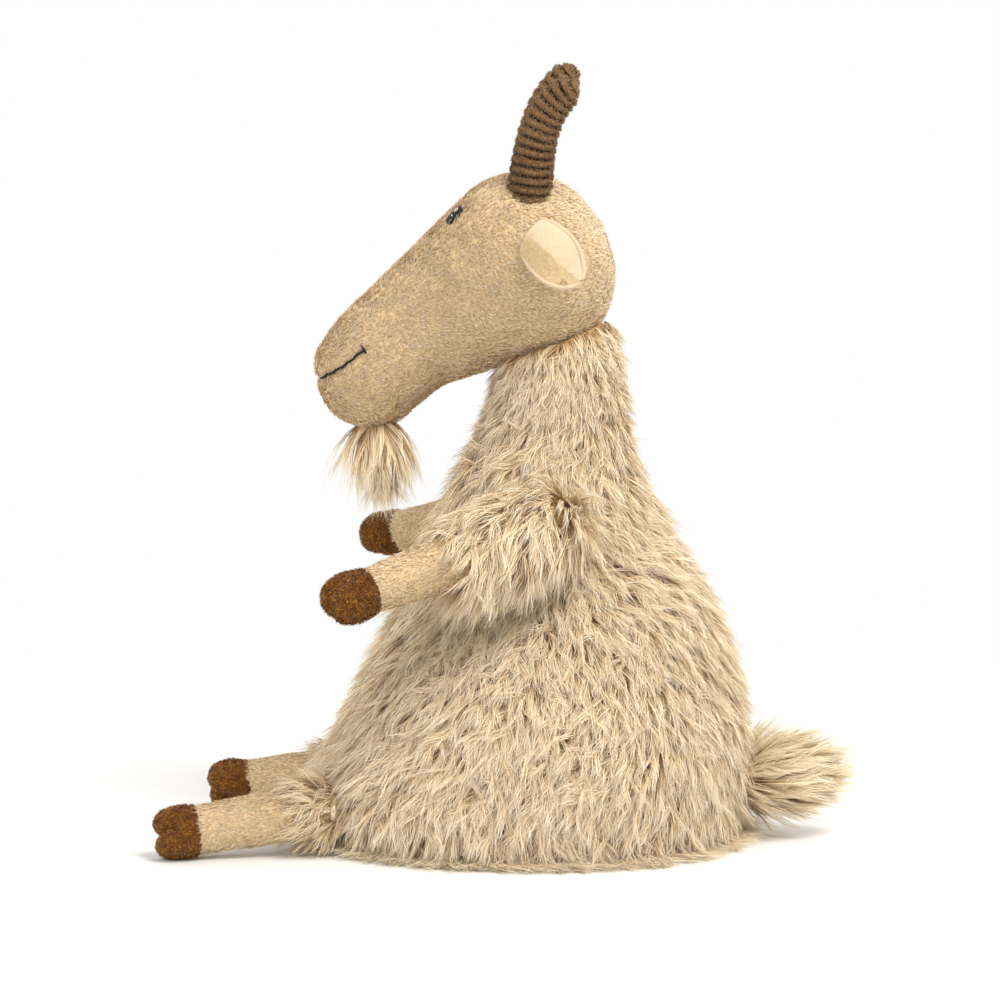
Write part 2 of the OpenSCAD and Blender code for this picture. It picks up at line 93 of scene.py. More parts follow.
def add_studio():
    scene = bpy.context.scene
    scene.view_settings.view_transform = "Standard"
    world = bpy.data.worlds.new("studio")
    scene.world = world
    world.use_nodes = True
    nodes, links = world.node_tree.nodes, world.node_tree.links
    nodes.clear()
    out = nodes.new("ShaderNodeOutputWorld")
    seen = nodes.new("ShaderNodeBackground")
    lit = nodes.new("ShaderNodeBackground")
    path = nodes.new("ShaderNodeLightPath")
    mix = nodes.new("ShaderNodeMixShader")
    seen.inputs["Color"].default_value = (1, 1, 1, 1)
    seen.inputs["Strength"].default_value = 1.0
    lit.inputs["Color"].default_value = (1.0, 0.98, 0.95, 1)
    lit.inputs["Strength"].default_value = 0.66
    links.new(path.outputs["Is Camera Ray"], mix.inputs["Fac"])
    links.new(lit.outputs[0], mix.inputs[1])
    links.new(seen.outputs[0], mix.inputs[2])
    links.new(mix.outputs[0], out.inputs["Surface"])
    add_area_light("key", (0.55, 0.55, 1.15), 0.7, 13.5, (1.0, 0.98, 0.96))
    add_area_light("front_fill", (1.1, -0.7, 0.55), 1.0, 4.8, (1.0, 0.98, 0.96))
    add_area_light("far_fill", (-1.0, 0.3, 0.7), 1.0, 5.0, (1.0, 0.99, 0.98))


def add_floor():
    """A pale disc that fades out into the white backdrop."""
    radius, fade_from, fade_to = 1.6, 0.16, 0.6
    steps = 96
    mesh = bpy.data.meshes.new("floor")
    ring = [(radius * math.cos(2 * math.pi * i / steps), radius * math.sin(2 * math.pi * i / steps), 0)
            for i in range(steps)]
    mesh.from_pydata(ring, [], [list(range(steps))])
    floor = bpy.data.objects.new("floor", mesh)
    bpy.context.collection.objects.link(floor)
    material = bpy.data.materials.new("floor")
    material.use_nodes = True
    tree = material.node_tree
    shader = tree.nodes["Principled BSDF"]
    shader.inputs["Base Color"].default_value = (0.93, 0.93, 0.92, 1)
    shader.inputs["Roughness"].default_value = 0.9
    place = tree.nodes.new("ShaderNodeTexCoord")
    length = tree.nodes.new("ShaderNodeVectorMath")
    length.operation = "LENGTH"
    fade = tree.nodes.new("ShaderNodeMapRange")
    fade.interpolation_type = "SMOOTHSTEP"
    fade.inputs["From Min"].default_value = fade_from
    fade.inputs["From Max"].default_value = fade_to
    clear = tree.nodes.new("ShaderNodeBsdfTransparent")
    mix = tree.nodes.new("ShaderNodeMixShader")
    tree.links.new(place.outputs["Object"], length.inputs[0])
    tree.links.new(length.outputs["Value"], fade.inputs["Value"])
    tree.links.new(fade.outputs["Result"], mix.inputs["Fac"])
    tree.links.new(shader.outputs[0], mix.inputs[1])
    tree.links.new(clear.outputs[0], mix.inputs[2])
    tree.links.new(mix.outputs[0], tree.nodes["Material Output"].inputs["Surface"])
    mesh.materials.append(material)


add_camera()
add_studio()
add_floor()


# ---- Materials ------------------------------------------------------------------------------

def srgb(red, green, blue):
    """A colour as it looks on screen, from 0 to 255, as the linear colour that a shader takes."""
    def linear(c):
        c /= 255
        return c / 12.92 if c <= 0.04045 else ((c + 0.055) / 1.055) ** 2.4
    return (linear(red), linear(green), linear(blue), 1)


def new_material(name, roughness, sheen=0.0, sheen_tint=(1, 1, 1, 1)):
    material = bpy.data.materials.new(name)
    material.use_nodes = True
    shader = material.node_tree.nodes["Principled BSDF"]
    shader.inputs["Roughness"].default_value = roughness
    shader.inputs["Specular IOR Level"].default_value = 0.25
    shader.inputs["Sheen Weight"].default_value = sheen
    shader.inputs["Sheen Roughness"].default_value = 0.5
    shader.inputs["Sheen Tint"].default_value = sheen_tint
    return material, material.node_tree, shader


def ramp_node(tree, stops, value):
    """A colour ramp from (position, colour) stops, driven by a socket."""
    node = tree.nodes.new("ShaderNodeValToRGB")
    elements = node.color_ramp.elements
    while len(elements) < len(stops):
        elements.new(0.5)
    for element, (position, colour) in zip(elements, stops):
        element.position = position
        element.color = colour
    tree.links.new(value, node.inputs["Fac"])
    return node.outputs["Color"]


def mixed(tree, blend, factor, first, second):
    """A colour mix; factor and either colour may be a socket or a value."""
    node = tree.nodes.new("ShaderNodeMix")
    node.data_type = "RGBA"
    node.blend_type = blend
    for socket, value in ((node.inputs[0], factor), (node.inputs[6], first), (node.inputs[7], second)):
        if isinstance(value, bpy.types.NodeSocket):
            tree.links.new(value, socket)
        else:
            socket.default_value = value
    return node.outputs[2]


def noise(tree, scale, detail=3.0, distortion=0.0):
    coordinates = tree.nodes.new("ShaderNodeTexCoord")
    node = tree.nodes.new("ShaderNodeTexNoise")
    node.inputs["Scale"].default_value = scale
    node.inputs["Detail"].default_value = detail
    node.inputs["Distortion"].default_value = distortion
    tree.links.new(coordinates.outputs["Object"], node.inputs["Vector"])
    return node.outputs["Fac"]


def add_bump(tree, shader, height, strength, distance):
    bump = tree.nodes.new("ShaderNodeBump")
    bump.inputs["Strength"].default_value = strength
    bump.inputs["Distance"].default_value = distance
    tree.links.new(height, bump.inputs["Height"])
    tree.links.new(bump.outputs["Normal"], shader.inputs["Normal"])


def paint_shade_below(tree, colour, heights):
    """Painted shade: the colour made darker below a height, which fades out by another; both are in metres.
    """
    place = tree.nodes.new("ShaderNodeTexCoord")
    split = tree.nodes.new("ShaderNodeSeparateXYZ")
    fade = tree.nodes.new("ShaderNodeMapRange")
    fade.inputs["From Min"].default_value, fade.inputs["From Max"].default_value = heights
    tree.links.new(place.outputs["Object"], split.inputs[0])
    tree.links.new(split.outputs["Z"], fade.inputs["Value"])
    shade = ramp_node(tree, [(0.0, (0.52, 0.47, 0.40, 1)), (1.0, (1, 1, 1, 1))], fade.outputs["Result"])
    return mixed(tree, "MULTIPLY", 1.0, colour, shade)


def fibre_material(name, root, middle, tip, pale, warm, roughness=0.7, sheen=0.15, painted_shade_heights=None,
                   painted_sheen_patches=False):
    """Pile whose colour runs from a darker root, painted shade deep in the pile, to a paler tip, with each
    lock a little paler or warmer than the next.
    """
    material, tree, shader = new_material(name, roughness, sheen)
    data = tree.nodes.new("ShaderNodeAttribute")
    data.attribute_name = "fibre"
    split = tree.nodes.new("ShaderNodeSeparateColor")
    tree.links.new(data.outputs["Color"], split.inputs["Color"])
    along, hair, lock = split.outputs
    # Painted shade: the colour darkens towards the root, where the pile shades itself deep down.
    colour = ramp_node(tree, [(0.0, root), (0.45, middle), (1.0, tip)], along)
    tint = ramp_node(tree, [(0.0, warm), (0.5, (1, 1, 1, 1)), (1.0, pale)], lock)
    colour = mixed(tree, "MULTIPLY", 1.0, colour, tint)
    strand = ramp_node(tree, [(0.0, (0.80, 0.78, 0.75, 1)), (1.0, (1.12, 1.12, 1.12, 1))], hair)
    colour = mixed(tree, "MULTIPLY", 1.0, colour, strand)
    # Painted shade: the colour is darkened below the given heights.
    if painted_shade_heights:
        colour = paint_shade_below(tree, colour, painted_shade_heights)
    # Painted sheen: light and dark patches in the colour stand in for light catching the velvety nap.
    if painted_sheen_patches:
        stops = [(0.36, (0.55, 0.52, 0.48, 1)), (0.64, (1.35, 1.35, 1.35, 1))]
        patches = ramp_node(tree, stops, noise(tree, 420.0, 3.0))
        colour = mixed(tree, "MULTIPLY", 1.0, colour, patches)
    tree.links.new(colour, shader.inputs["Base Color"])
    return material


def backing_material(name, dark, light, scale=900.0):
    """Knitted backing and dense nap seen between the fibres."""
    material, tree, shader = new_material(name, 0.85, 0.2)
    grain = noise(tree, scale, 4.0)
    patches = noise(tree, 60.0, 2.0)
    colour = ramp_node(tree, [(0.3, dark), (0.7, light)], grain)
    colour = mixed(tree, "MULTIPLY", 0.35, colour,
                   ramp_node(tree, [(0.3, (0.86, 0.83, 0.78, 1)), (0.7, (1.1, 1.1, 1.1, 1))], patches))
    tree.links.new(colour, shader.inputs["Base Color"])
    add_bump(tree, shader, grain, 0.6, 0.0006)
    return material


def thread_material(name, colour, shine):
    """Satin embroidery thread, with a fine twist."""
    material, tree, shader = new_material(name, shine, 0.1)
    twist = noise(tree, 4000.0, 2.0)
    darker = tuple(0.7 * c for c in colour[:3]) + (1,)
    tree.links.new(ramp_node(tree, [(0.35, darker), (0.65, colour)], twist), shader.inputs["Base Color"])
    add_bump(tree, shader, twist, 0.4, 0.0002)
    return material


FUR = fibre_material("long_pile", srgb(188, 154, 108), srgb(236, 214, 177), srgb(254, 245, 223),
                     pale=(1.08, 1.09, 1.12, 1), warm=(0.93, 0.90, 0.83, 1))
# A paler copy of the fur, painted lighter for the tail and beard, whose thin tufts let light through
TUFT_FUR = fibre_material("long_pile_tuft", srgb(206, 176, 130), srgb(246, 227, 192), srgb(255, 249, 230),
                          pale=(1.06, 1.07, 1.10, 1), warm=(0.96, 0.93, 0.88, 1))
FUR_BACKING = backing_material("long_pile_backing", srgb(164, 130, 84), srgb(204, 172, 124))
NAP = fibre_material("short_pile", srgb(204, 171, 124), srgb(232, 211, 175), srgb(249, 235, 208),
                     pale=(1.06, 1.07, 1.08, 1), warm=(0.92, 0.90, 0.85, 1))
PLUSH = backing_material("plush_ground", srgb(210, 180, 134), srgb(230, 206, 164))
LINING_NAP = fibre_material("lining_nap", srgb(216, 190, 156), srgb(230, 209, 180), srgb(238, 221, 194),
                            pale=(1.01, 1.01, 1.01, 1), warm=(0.98, 0.97, 0.95, 1))
LINING = backing_material("ear_lining", srgb(214, 189, 155), srgb(228, 206, 175), 1400.0)
# Painted shade: the horn's nap is darkened towards its base, where the head shades it.
CORD_NAP = fibre_material("cord_nap", srgb(92, 62, 32), srgb(154, 122, 82), srgb(196, 164, 122),
                          pale=(1.16, 1.16, 1.16, 1), warm=(0.84, 0.80, 0.74, 1), painted_shade_heights=(0.252, 0.288))
# The hoof nap has painted sheen patches in its colour instead of a real sheen.
HOOF_NAP = fibre_material("hoof_nap", srgb(84, 42, 4), srgb(150, 98, 34), srgb(196, 146, 78),
                          pale=(1.2, 1.2, 1.2, 1), warm=(0.78, 0.74, 0.66, 1), sheen=0.0, painted_sheen_patches=True)
HOOF_GROUND = backing_material("hoof_ground", srgb(72, 36, 4), srgb(124, 78, 26))
DARK_THREAD = thread_material("dark_thread", srgb(26, 22, 24), 0.45)
PALE_THREAD = thread_material("pale_thread", srgb(226, 222, 200), 0.5)


# ---- Shapes ---------------------------------------------------------------------------------

def unit(v):
    return v / np.maximum(np.linalg.norm(v, axis=-1, keepdims=True), 1e-9)


def smooth_rows(rows, keys):
    """Rows that start with their key, blended smoothly at each of the keys."""
    rows = np.array(rows, float)
    x = rows[:, 0]
    slopes = np.empty_like(rows)
    slopes[1:-1] = (rows[2:] - rows[:-2]) / (x[2:] - x[:-2])[:, None]
    slopes[0] = (rows[1] - rows[0]) / (x[1] - x[0])
    slopes[-1] = (rows[-1] - rows[-2]) / (x[-1] - x[-2])
    keys = np.asarray(keys, float)
    i = np.clip(np.searchsorted(x, keys, side="right") - 1, 0, len(x) - 2)
    step = (x[i + 1] - x[i])[..., None]
    t = (keys - x[i])[..., None] / step
    return (rows[i] * (2 * t**3 - 3 * t**2 + 1) + slopes[i] * step * (t**3 - 2 * t**2 + t)
            + rows[i + 1] * (3 * t**2 - 2 * t**3) + slopes[i + 1] * step * (t**3 - t**2))


OVAL_POWER = 0.92


def squared(c):
    return np.sign(c) * np.abs(c) ** OVAL_POWER


def smooth_step(t):
    t = np.clip(t, 0, 1)
    return t * t * (3 - 2 * t)


def ripple(points, size, seed):
    """Smooth noise from -1 to 1 over points, with features of about this size."""
    rng = np.random.default_rng(seed)
    ways = unit(rng.normal(size=(7, 3)))
    scales = rng.uniform(0.6, 1.5, 7) * 2 * math.pi / (2 * size)
    phases = rng.uniform(0, 2 * math.pi, 7)
    waves = np.sin((points @ ways.T) * scales + phases)
    return waves.mean(axis=-1) * 1.6


def frame_along(way):
    """Three unit vectors: along a direction, level across it, and up from both."""
    way = unit(np.array(way, float))
    across = unit(np.cross(way, [0, 0, 1.0]))
    return way, across, np.cross(across, way)


def add_object(name, points, quads=None, tris=None, material=None, smooth=True, fibre=None):
    """A mesh object from points in millimetres."""
    quads = np.zeros((0, 4), np.int32) if quads is None else np.asarray(quads, np.int32)
    tris = np.zeros((0, 3), np.int32) if tris is None else np.asarray(tris, np.int32)
    mesh = bpy.data.meshes.new(name)
    mesh.vertices.add(len(points))
    mesh.vertices.foreach_set("co", (np.asarray(points) * MM).astype(np.float32).ravel())
    loops = np.concatenate([quads.ravel(), tris.ravel()]).astype(np.int32)
    starts = np.concatenate([np.arange(len(quads)) * 4, len(quads) * 4 + np.arange(len(tris)) * 3])
    mesh.loops.add(len(loops))
    mesh.loops.foreach_set("vertex_index", loops)
    mesh.polygons.add(len(starts))
    mesh.polygons.foreach_set("loop_start", starts.astype(np.int32))
    mesh.polygons.foreach_set("use_smooth", np.full(len(starts), smooth))
    mesh.update(calc_edges=True)
    if fibre is not None:
        attribute = mesh.attributes.new("fibre", "FLOAT_COLOR", "POINT")
        attribute.data.foreach_set("color", fibre.astype(np.float32).ravel())
    if material:
        mesh.materials.append(material)
    piece = bpy.data.objects.new(name, mesh)
    bpy.context.collection.objects.link(piece)
    return piece


def settle(piece, body, slot, *replaced):
    """Every piece rides on a body, and the CAD parts it replaces are hidden; the slot is not used."""
    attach(piece, body)
    if replaced:
        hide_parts(*replaced)
    return piece


class Skin:
    """A grid of points, closed round its columns, that fibres can be planted on."""

    def __init__(self, grid, outward=1, closed=True):
        self.grid = grid
        self.rows, self.columns = grid.shape[:2]
        self.closed = closed
        if closed:
            ahead, behind = np.roll(grid, -1, axis=1), np.roll(grid, 1, axis=1)
        else:
            ahead = np.concatenate([grid[:, 1:], grid[:, -1:]], axis=1)
            behind = np.concatenate([grid[:, :1], grid[:, :-1]], axis=1)
        self.along = unit(np.gradient(grid, axis=0))
        self.normals = unit(np.cross(ahead - behind, self.along)) * outward
        self.outward = outward

    def quads(self):
        last = self.columns if self.closed else self.columns - 1
        r, c = np.meshgrid(np.arange(self.rows - 1), np.arange(last), indexing="ij")
        r, c = r.ravel(), c.ravel()
        n = self.columns
        faces = np.stack([r * n + c, r * n + (c + 1) % n, (r + 1) * n + (c + 1) % n, (r + 1) * n + c], 1)
        return faces if self.outward > 0 else faces[:, ::-1]

    def add(self, name, material, caps=(True, True)):
        """The skin as an object, with its open ends closed by a fan."""
        points = self.grid.reshape(-1, 3)
        tris = []
        c = np.arange(self.columns)
        for row, wanted in ((0, caps[0]), (self.rows - 1, caps[1])):
            if wanted:
                points = np.vstack([points, self.grid[row].mean(axis=0)])
                ring = row * self.columns + c
                after = row * self.columns + (c + 1) % self.columns
                tip = np.full_like(c, len(points) - 1)
                order = [tip, after, ring] if (row == 0) == (self.outward > 0) else [tip, ring, after]
                tris.append(np.stack(order, 1))
        tris = np.vstack(tris) if tris else None
        return add_object(name, points, self.quads(), tris, material)

    def area(self):
        return self._areas().sum()

    def _areas(self):
        p = self.grid if not self.closed else np.concatenate([self.grid, self.grid[:, :1]], axis=1)
        return np.linalg.norm(np.cross(p[1:, 1:] - p[:-1, :-1], p[:-1, 1:] - p[1:, :-1]), axis=2) / 2

    def scatter(self, rng, count):
        """Points spread evenly by area: place, normal, the way the rows run, and (row, column) fractions."""
        areas = self._areas()
        cell = rng.choice(areas.size, size=count, p=areas.ravel() / areas.sum())
        r, c = np.unravel_index(cell, areas.shape)
        u, v = rng.random(count)[:, None], rng.random(count)[:, None]
        after = (c + 1) % self.columns

        def blend(field):
            return ((1 - u) * ((1 - v) * field[r, c] + v * field[r, after])
                    + u * ((1 - v) * field[r + 1, c] + v * field[r + 1, after]))
        spot = np.stack([(r + u[:, 0]) / (self.rows - 1), (c + v[:, 0]) / self.columns], 1)
        return blend(self.grid), unit(blend(self.normals)), unit(blend(self.along)), spot


# ---- Fibres ---------------------------------------------------------------------------------

class Pile:
    """How one fabric's fibres grow: sizes in millimetres, angles in degrees."""

    def __init__(self, length, width, gap, per_lock, lift=30, fall=0.6, spread=1.0, gather=0.8,
                 wander=14, frizz=0.5, droop=0.0, steps=4, wave=0.6):
        self.length, self.width = length, width
        self.gap, self.per_lock = gap, per_lock
        self.lift, self.fall, self.spread, self.gather = lift, fall, spread, gather
        self.wander, self.frizz, self.droop, self.steps, self.wave = wander, frizz, droop, steps, wave


def grow(skin, pile, seed, flow, keep=None, shape=None, length_at=None):
    """Fibre paths on a skin, gathered into locks. Returns points (fibre, step, 3), normals, shades and roots.

    flow(place, normal, along, spot) gives the way the pile lies; keep(place, spot) masks the roots;
    shape(points) moves finished points, such as out of a neighbour; length_at(place, spot) scales length.
    """
    rng = np.random.default_rng(seed)
    count = int(DENSITY * skin.area() / pile.gap**2)
    place, normal, along, spot = skin.scatter(rng, count)
    if keep is not None:
        kept = keep(place, spot)
        place, normal, along, spot = place[kept], normal[kept], along[kept], spot[kept]
    count = len(place)
    way = flow(place, normal, along, spot)
    way = unit(way - normal * np.sum(way * normal, axis=1, keepdims=True))
    side = np.cross(normal, way)
    turn = np.radians(rng.normal(0, pile.wander, count))[:, None]
    way = way * np.cos(turn) + side * np.sin(turn)
    side = np.cross(normal, way)
    length = pile.length * rng.uniform(0.75, 1.15, count)
    if length_at is not None:
        length = length * length_at(place, spot)
    lift = np.radians(pile.lift + rng.normal(0, pile.lift * 0.25, count))
    steps = pile.steps
    curl = rng.normal(0, pile.wave, count)
    path = [place]
    for k in range(steps):
        t = (k + 0.5) / steps
        rise = (lift * (1 - pile.fall * t))[:, None]
        sway = (curl * math.sin(2.2 * math.pi * t) * 0.35)[:, None]
        step = way * np.cos(rise) + normal * np.sin(rise) + side * sway
        step[:, 2] -= pile.droop * t
        path.append(path[-1] + unit(step) * (length / steps)[:, None])
    path = np.stack(path, axis=1) - place[:, None]

    hairs = pile.per_lock
    reach = pile.spread * pile.gap * np.sqrt(rng.random((count, hairs)))
    angle = rng.uniform(0, 2 * math.pi, (count, hairs))
    offset = (side[:, None] * (reach * np.cos(angle))[..., None]
              + way[:, None] * (reach * np.sin(angle))[..., None])
    t = np.linspace(0, 1, steps + 1)
    gathered = pile.gather * t**1.2
    stretch = rng.uniform(0.7, 1.08, (count, hairs, 1, 1))
    points = (place[:, None, None] + path[:, None] * stretch
              + offset[:, :, None] * (1 - gathered)[None, None, :, None])
    fuzz = rng.normal(0, pile.frizz, (count, hairs, 1, 3)) * (t**1.5)[None, None, :, None]
    fuzz = fuzz + rng.normal(0, pile.frizz * 0.35, (count, hairs, steps + 1, 3)) * t[None, None, :, None]
    points = (points + fuzz).reshape(-1, steps + 1, 3)
    normals = np.repeat(normal, hairs, axis=0)
    if shape is not None:
        points = shape(points, rng)
    shades = np.stack([rng.random(count * hairs), np.repeat(rng.random(count), hairs)], 1)
    return points, normals, shades, np.repeat(place, hairs, axis=0)


def add_fibres(name, grown, pile, material, select=None):
    """Fibres as tapering ribbons, each a separate strip of mesh."""
    points, normals, shades, roots = grown
    if select is not None:
        chosen = select(roots)
        points, normals, shades = points[chosen], normals[chosen], shades[chosen]
    count, knots = points.shape[:2]
    steps = knots - 1
    way = unit(np.gradient(points, axis=1))
    roll = np.random.default_rng(count).normal(0, math.radians(32), count)[:, None, None]
    across = unit(np.cross(way, normals[:, None]))
    facing = np.cross(across, way)
    across = across * np.cos(roll) + facing * np.sin(roll)
    t = np.linspace(0, 1, knots)[:-1]
    half = 0.5 * pile.width * FIBRE_WIDER * (1 - t**2.2)[None, :, None]
    edge_a = points[:, :-1] - across[:, :-1] * half
    edge_b = points[:, :-1] + across[:, :-1] * half
    edges = np.stack([edge_a, edge_b], axis=2).reshape(count, 2 * steps, 3)
    verts = np.concatenate([edges, points[:, -1:]], axis=1)
    per = 2 * steps + 1
    base = (np.arange(count) * per)[:, None]
    quads = [np.concatenate([base + 2 * k + 1, base + 2 * k, base + 2 * k + 2, base + 2 * k + 3], 1)
             for k in range(steps - 1)]
    quads = np.concatenate(quads, 0) if quads else None
    last = 2 * (steps - 1)
    tris = np.concatenate([base + last + 1, base + last, base + last + 2], 1)
    fibre = np.ones((count, per, 4))
    fibre[:, :-1, 0] = np.repeat(t, 2)[None]
    fibre[:, :, 1] = shades[:, :1]
    fibre[:, :, 2] = shades[:, 1:]
    return add_object(name, verts.reshape(-1, 3), quads, tris, material, True, fibre.reshape(-1, 4))


def keep_out_of_ball(centre, radius):
    """Fibre points inside a ball are moved to its surface."""
    def shape(points, rng):
        away = points - centre
        distance = np.linalg.norm(away, axis=2, keepdims=True)
        return np.where(distance < radius, centre + unit(away) * radius, points)
    return shape


def keep_above_floor(points, rng):
    """Fibres that would go through the floor lie on it."""
    lowest = 0.3 + 1.4 * rng.random(len(points))[:, None]
    points[..., 2] = np.maximum(points[..., 2], lowest)
    return points


def splay_on_floor(points, rng):
    """Fibres that reach the floor bend and spread outwards over it."""
    lowest = 0.3 + 3.0 * rng.random(len(points))[:, None]
    below = np.maximum(lowest - points[..., 2], 0)
    outwards = unit(points[..., :2])
    points[..., :2] += outwards * (0.85 * below)[..., None]
    points[..., 2] += below
    return points


# ---- Torso ----------------------------------------------------------------------------------

SEAT_HALF_W, NECK_HALF_W = 84, 27
TORSO_ROWS = [[0, -78, 84, SEAT_HALF_W - 7],
              [7, -84, 88, SEAT_HALF_W - 4],
              [20, -86, 91, SEAT_HALF_W],
              [45, -73, 92, SEAT_HALF_W - 1],
              [70, -61, 87, SEAT_HALF_W - 11],
              [95, -47, 77, SEAT_HALF_W - 28],
              [120, -36, 63, NECK_HALF_W + 14],
              [145, -26, 50, NECK_HALF_W + 6],
              [170, -18, 44, NECK_HALF_W + 2],
              [192, -12, 41, NECK_HALF_W]]
NECK_TOP = 192
NECK_SLOPE, NECK_SLOPE_START = 0.48, 140
PILE_DEPTH = 6.6
SKULL = PIVOT["neck_nod"]
COLLAR_FIT_R = 38.8


def torso_point(z, angle, inset):
    row = smooth_rows(TORSO_ROWS, z)
    dy = ((row[..., 2] - row[..., 1]) / 2 - inset) * squared(np.sin(angle))
    slope = NECK_SLOPE * smooth_step((z - NECK_SLOPE_START) / (NECK_TOP - NECK_SLOPE_START))
    return np.stack([(row[..., 3] - inset) * squared(np.cos(angle)),
                     (row[..., 1] + row[..., 2]) / 2 + dy, z + slope * dy], axis=-1)


def torso_skin():
    """The knitted ground of the fur, which ends in a collar drawn up against the head."""
    z = np.concatenate([np.linspace(0.4, 20, 12), np.linspace(22, NECK_TOP, 60)])
    angle = np.linspace(0, 2 * math.pi, 145)[:-1]
    zz, aa = np.meshgrid(z, angle, indexing="ij")
    body = torso_point(zz, aa, PILE_DEPTH)
    rim = body[-1]
    aside = np.linalg.norm(rim[:, :2] - SKULL[:2], axis=1)
    collar = rim.copy()
    collar[:, 2] = SKULL[2] - np.sqrt(COLLAR_FIT_R**2 - aside**2)
    rise = np.linspace(0, 1, 8)[1:, None, None]
    return Skin(np.concatenate([body, rim + (collar - rim) * rise]))


def torso_flow(place, normal, along, spot):
    """The pile lies down the body and swirls a little."""
    down = -along
    side = np.cross(normal, down)
    swirl = np.radians(26) * ripple(place, 30, 11) + np.radians(16) * ripple(place, 9, 12)
    return down * np.cos(swirl)[:, None] + side * np.sin(swirl)[:, None]


def clear_of_limbs(place, spot):
    """No fibres are planted under a sleeve, a leg's root or the tail."""
    kept = np.ones(len(place), bool)
    for joint, radius in (("arm_left_swing", 15), ("arm_right_swing", 15),
                          ("leg_left_lift", 10), ("leg_right_lift", 10), ("tail_wag", 9)):
        kept &= np.linalg.norm(place - PIVOT[joint], axis=1) > radius
    return kept


TORSO_SECTORS = 9
TORSO_PILE = Pile(length=18, width=0.36, gap=2.05, per_lock=10, lift=38, fall=0.7, spread=0.75,
                  gather=0.78, wander=27, frizz=0.95, droop=0.22, wave=0.9)


def build_torso():
    skin = torso_skin()
    ground = settle(skin.add("torso_backing", FUR_BACKING), "torso", "long_pile_fur",
                    "torso_front_panel", "torso_left_panel", "torso_right_panel",
                    "torso_back_left_panel", "torso_back_right_panel", "base_panel")
    out_of_head = keep_out_of_ball(SKULL, 39)

    def shape(points, rng):
        return splay_on_floor(out_of_head(points, rng), rng)

    def length_at(place, spot):
        """Shorter at the neck, and longer on the chest and round the seat."""
        height = place[:, 2]
        neck = smooth_step((height - 135) / 45)
        chest = smooth_step((-place[:, 1] - 5) / 20) * smooth_step((height - 85) / 25)
        seat = 1 - smooth_step((height - 6) / 22)
        return 1.0 - 0.22 * neck + 0.22 * chest + 0.3 * seat
    grown = grow(skin, TORSO_PILE, 21, torso_flow, clear_of_limbs, shape, length_at)
    edges = np.linspace(-180, 180, TORSO_SECTORS + 1)
    for i in range(TORSO_SECTORS):
        def select(roots, low=edges[i], high=edges[i + 1]):
            angle = np.degrees(np.arctan2(roots[:, 1], roots[:, 0]))
            return (angle >= low) & (angle < high)
        settle(add_fibres(f"torso_fur_{i + 1}", grown, TORSO_PILE, FUR, select), "torso", "long_pile_fur")
    collar(skin)


COLLAR_PILE = Pile(length=10.5, width=0.38, gap=1.7, per_lock=8, lift=62, fall=0.6, spread=0.8,
                   gather=0.75, wander=30, frizz=0.7, droop=0.5)


def collar(skin):
    """Denser, more upright fur at the top of the neck, which closes up against the head seam."""
    top = Skin(skin.grid[-16:])

    def flow(place, normal, along, spot):
        return -along
    fur = add_fibres("collar_fur", grow(top, COLLAR_PILE, 22, flow, None, keep_out_of_ball(SKULL, 38.4)),
                     COLLAR_PILE, FUR)
    settle(fur, "torso", "long_pile_fur")


# ---- Head -----------------------------------------------------------------------------------

HEAD_ROWS = [[-3, -8, 0.6, 0.6],
             [-1.5, -8, 7, 6],
             [2.7, -6.4, 15, 12.5],
             [8, -7.2, 19.4, 16.5],
             [19, -5.8, 23.3, 19.5],
             [31, -2.9, 23.8, 20.5],
             [42, -0.6, 24.6, 21.5],
             [57, 0.1, 27.9, 24.5],
             [73, 0.9, 31.7, 29.5],
             [90, 0.3, 36.5, 35],
             [103, 0, 35.8, 35.2],
             [116, 0, 28, 28],
             [124, 0, 17, 17],
             [127.8, 0, 0.6, 0.6]]
HEAD_START, HEAD_END, NOSE_TO_SKULL = -3, 127.8, 94.4
MUZZLE_TILT = math.radians(28.5)
SMILE_CENTRE, SMILE_R = np.array([-98, 233]), 53
SMILE_FRONT, SMILE_END = math.radians(-69), math.radians(-45)


def head_point(mark, angle, proud=0.0):
    row = smooth_rows(HEAD_ROWS, mark)
    t = row[..., 1] + (row[..., 2] + proud) * squared(np.sin(angle))
    back = mark - NOSE_TO_SKULL
    cos, sin = math.cos(MUZZLE_TILT), math.sin(MUZZLE_TILT)
    return np.stack([(row[..., 3] + proud) * squared(np.cos(angle)),
                     SKULL[1] + back * cos - t * sin, SKULL[2] + back * sin + t * cos], axis=-1)


def on_head(y, z, side, proud=0.0):
    """The point on one side of the head at this place in its profile."""
    dy, dz = y - SKULL[1], z - SKULL[2]
    cos, sin = math.cos(MUZZLE_TILT), math.sin(MUZZLE_TILT)
    mark = np.clip(dy * cos + dz * sin + NOSE_TO_SKULL, HEAD_START + 0.3, HEAD_END)
    t = -dy * sin + dz * cos
    row = smooth_rows(HEAD_ROWS, mark)
    share = np.clip((t - row[..., 1]) / (row[..., 2] + 0.01), -0.999, 0.999)
    angle = np.arcsin(np.sign(share) * np.abs(share) ** (1 / OVAL_POWER))
    point = head_point(mark, angle, proud)
    return point * np.array([side, 1, 1])


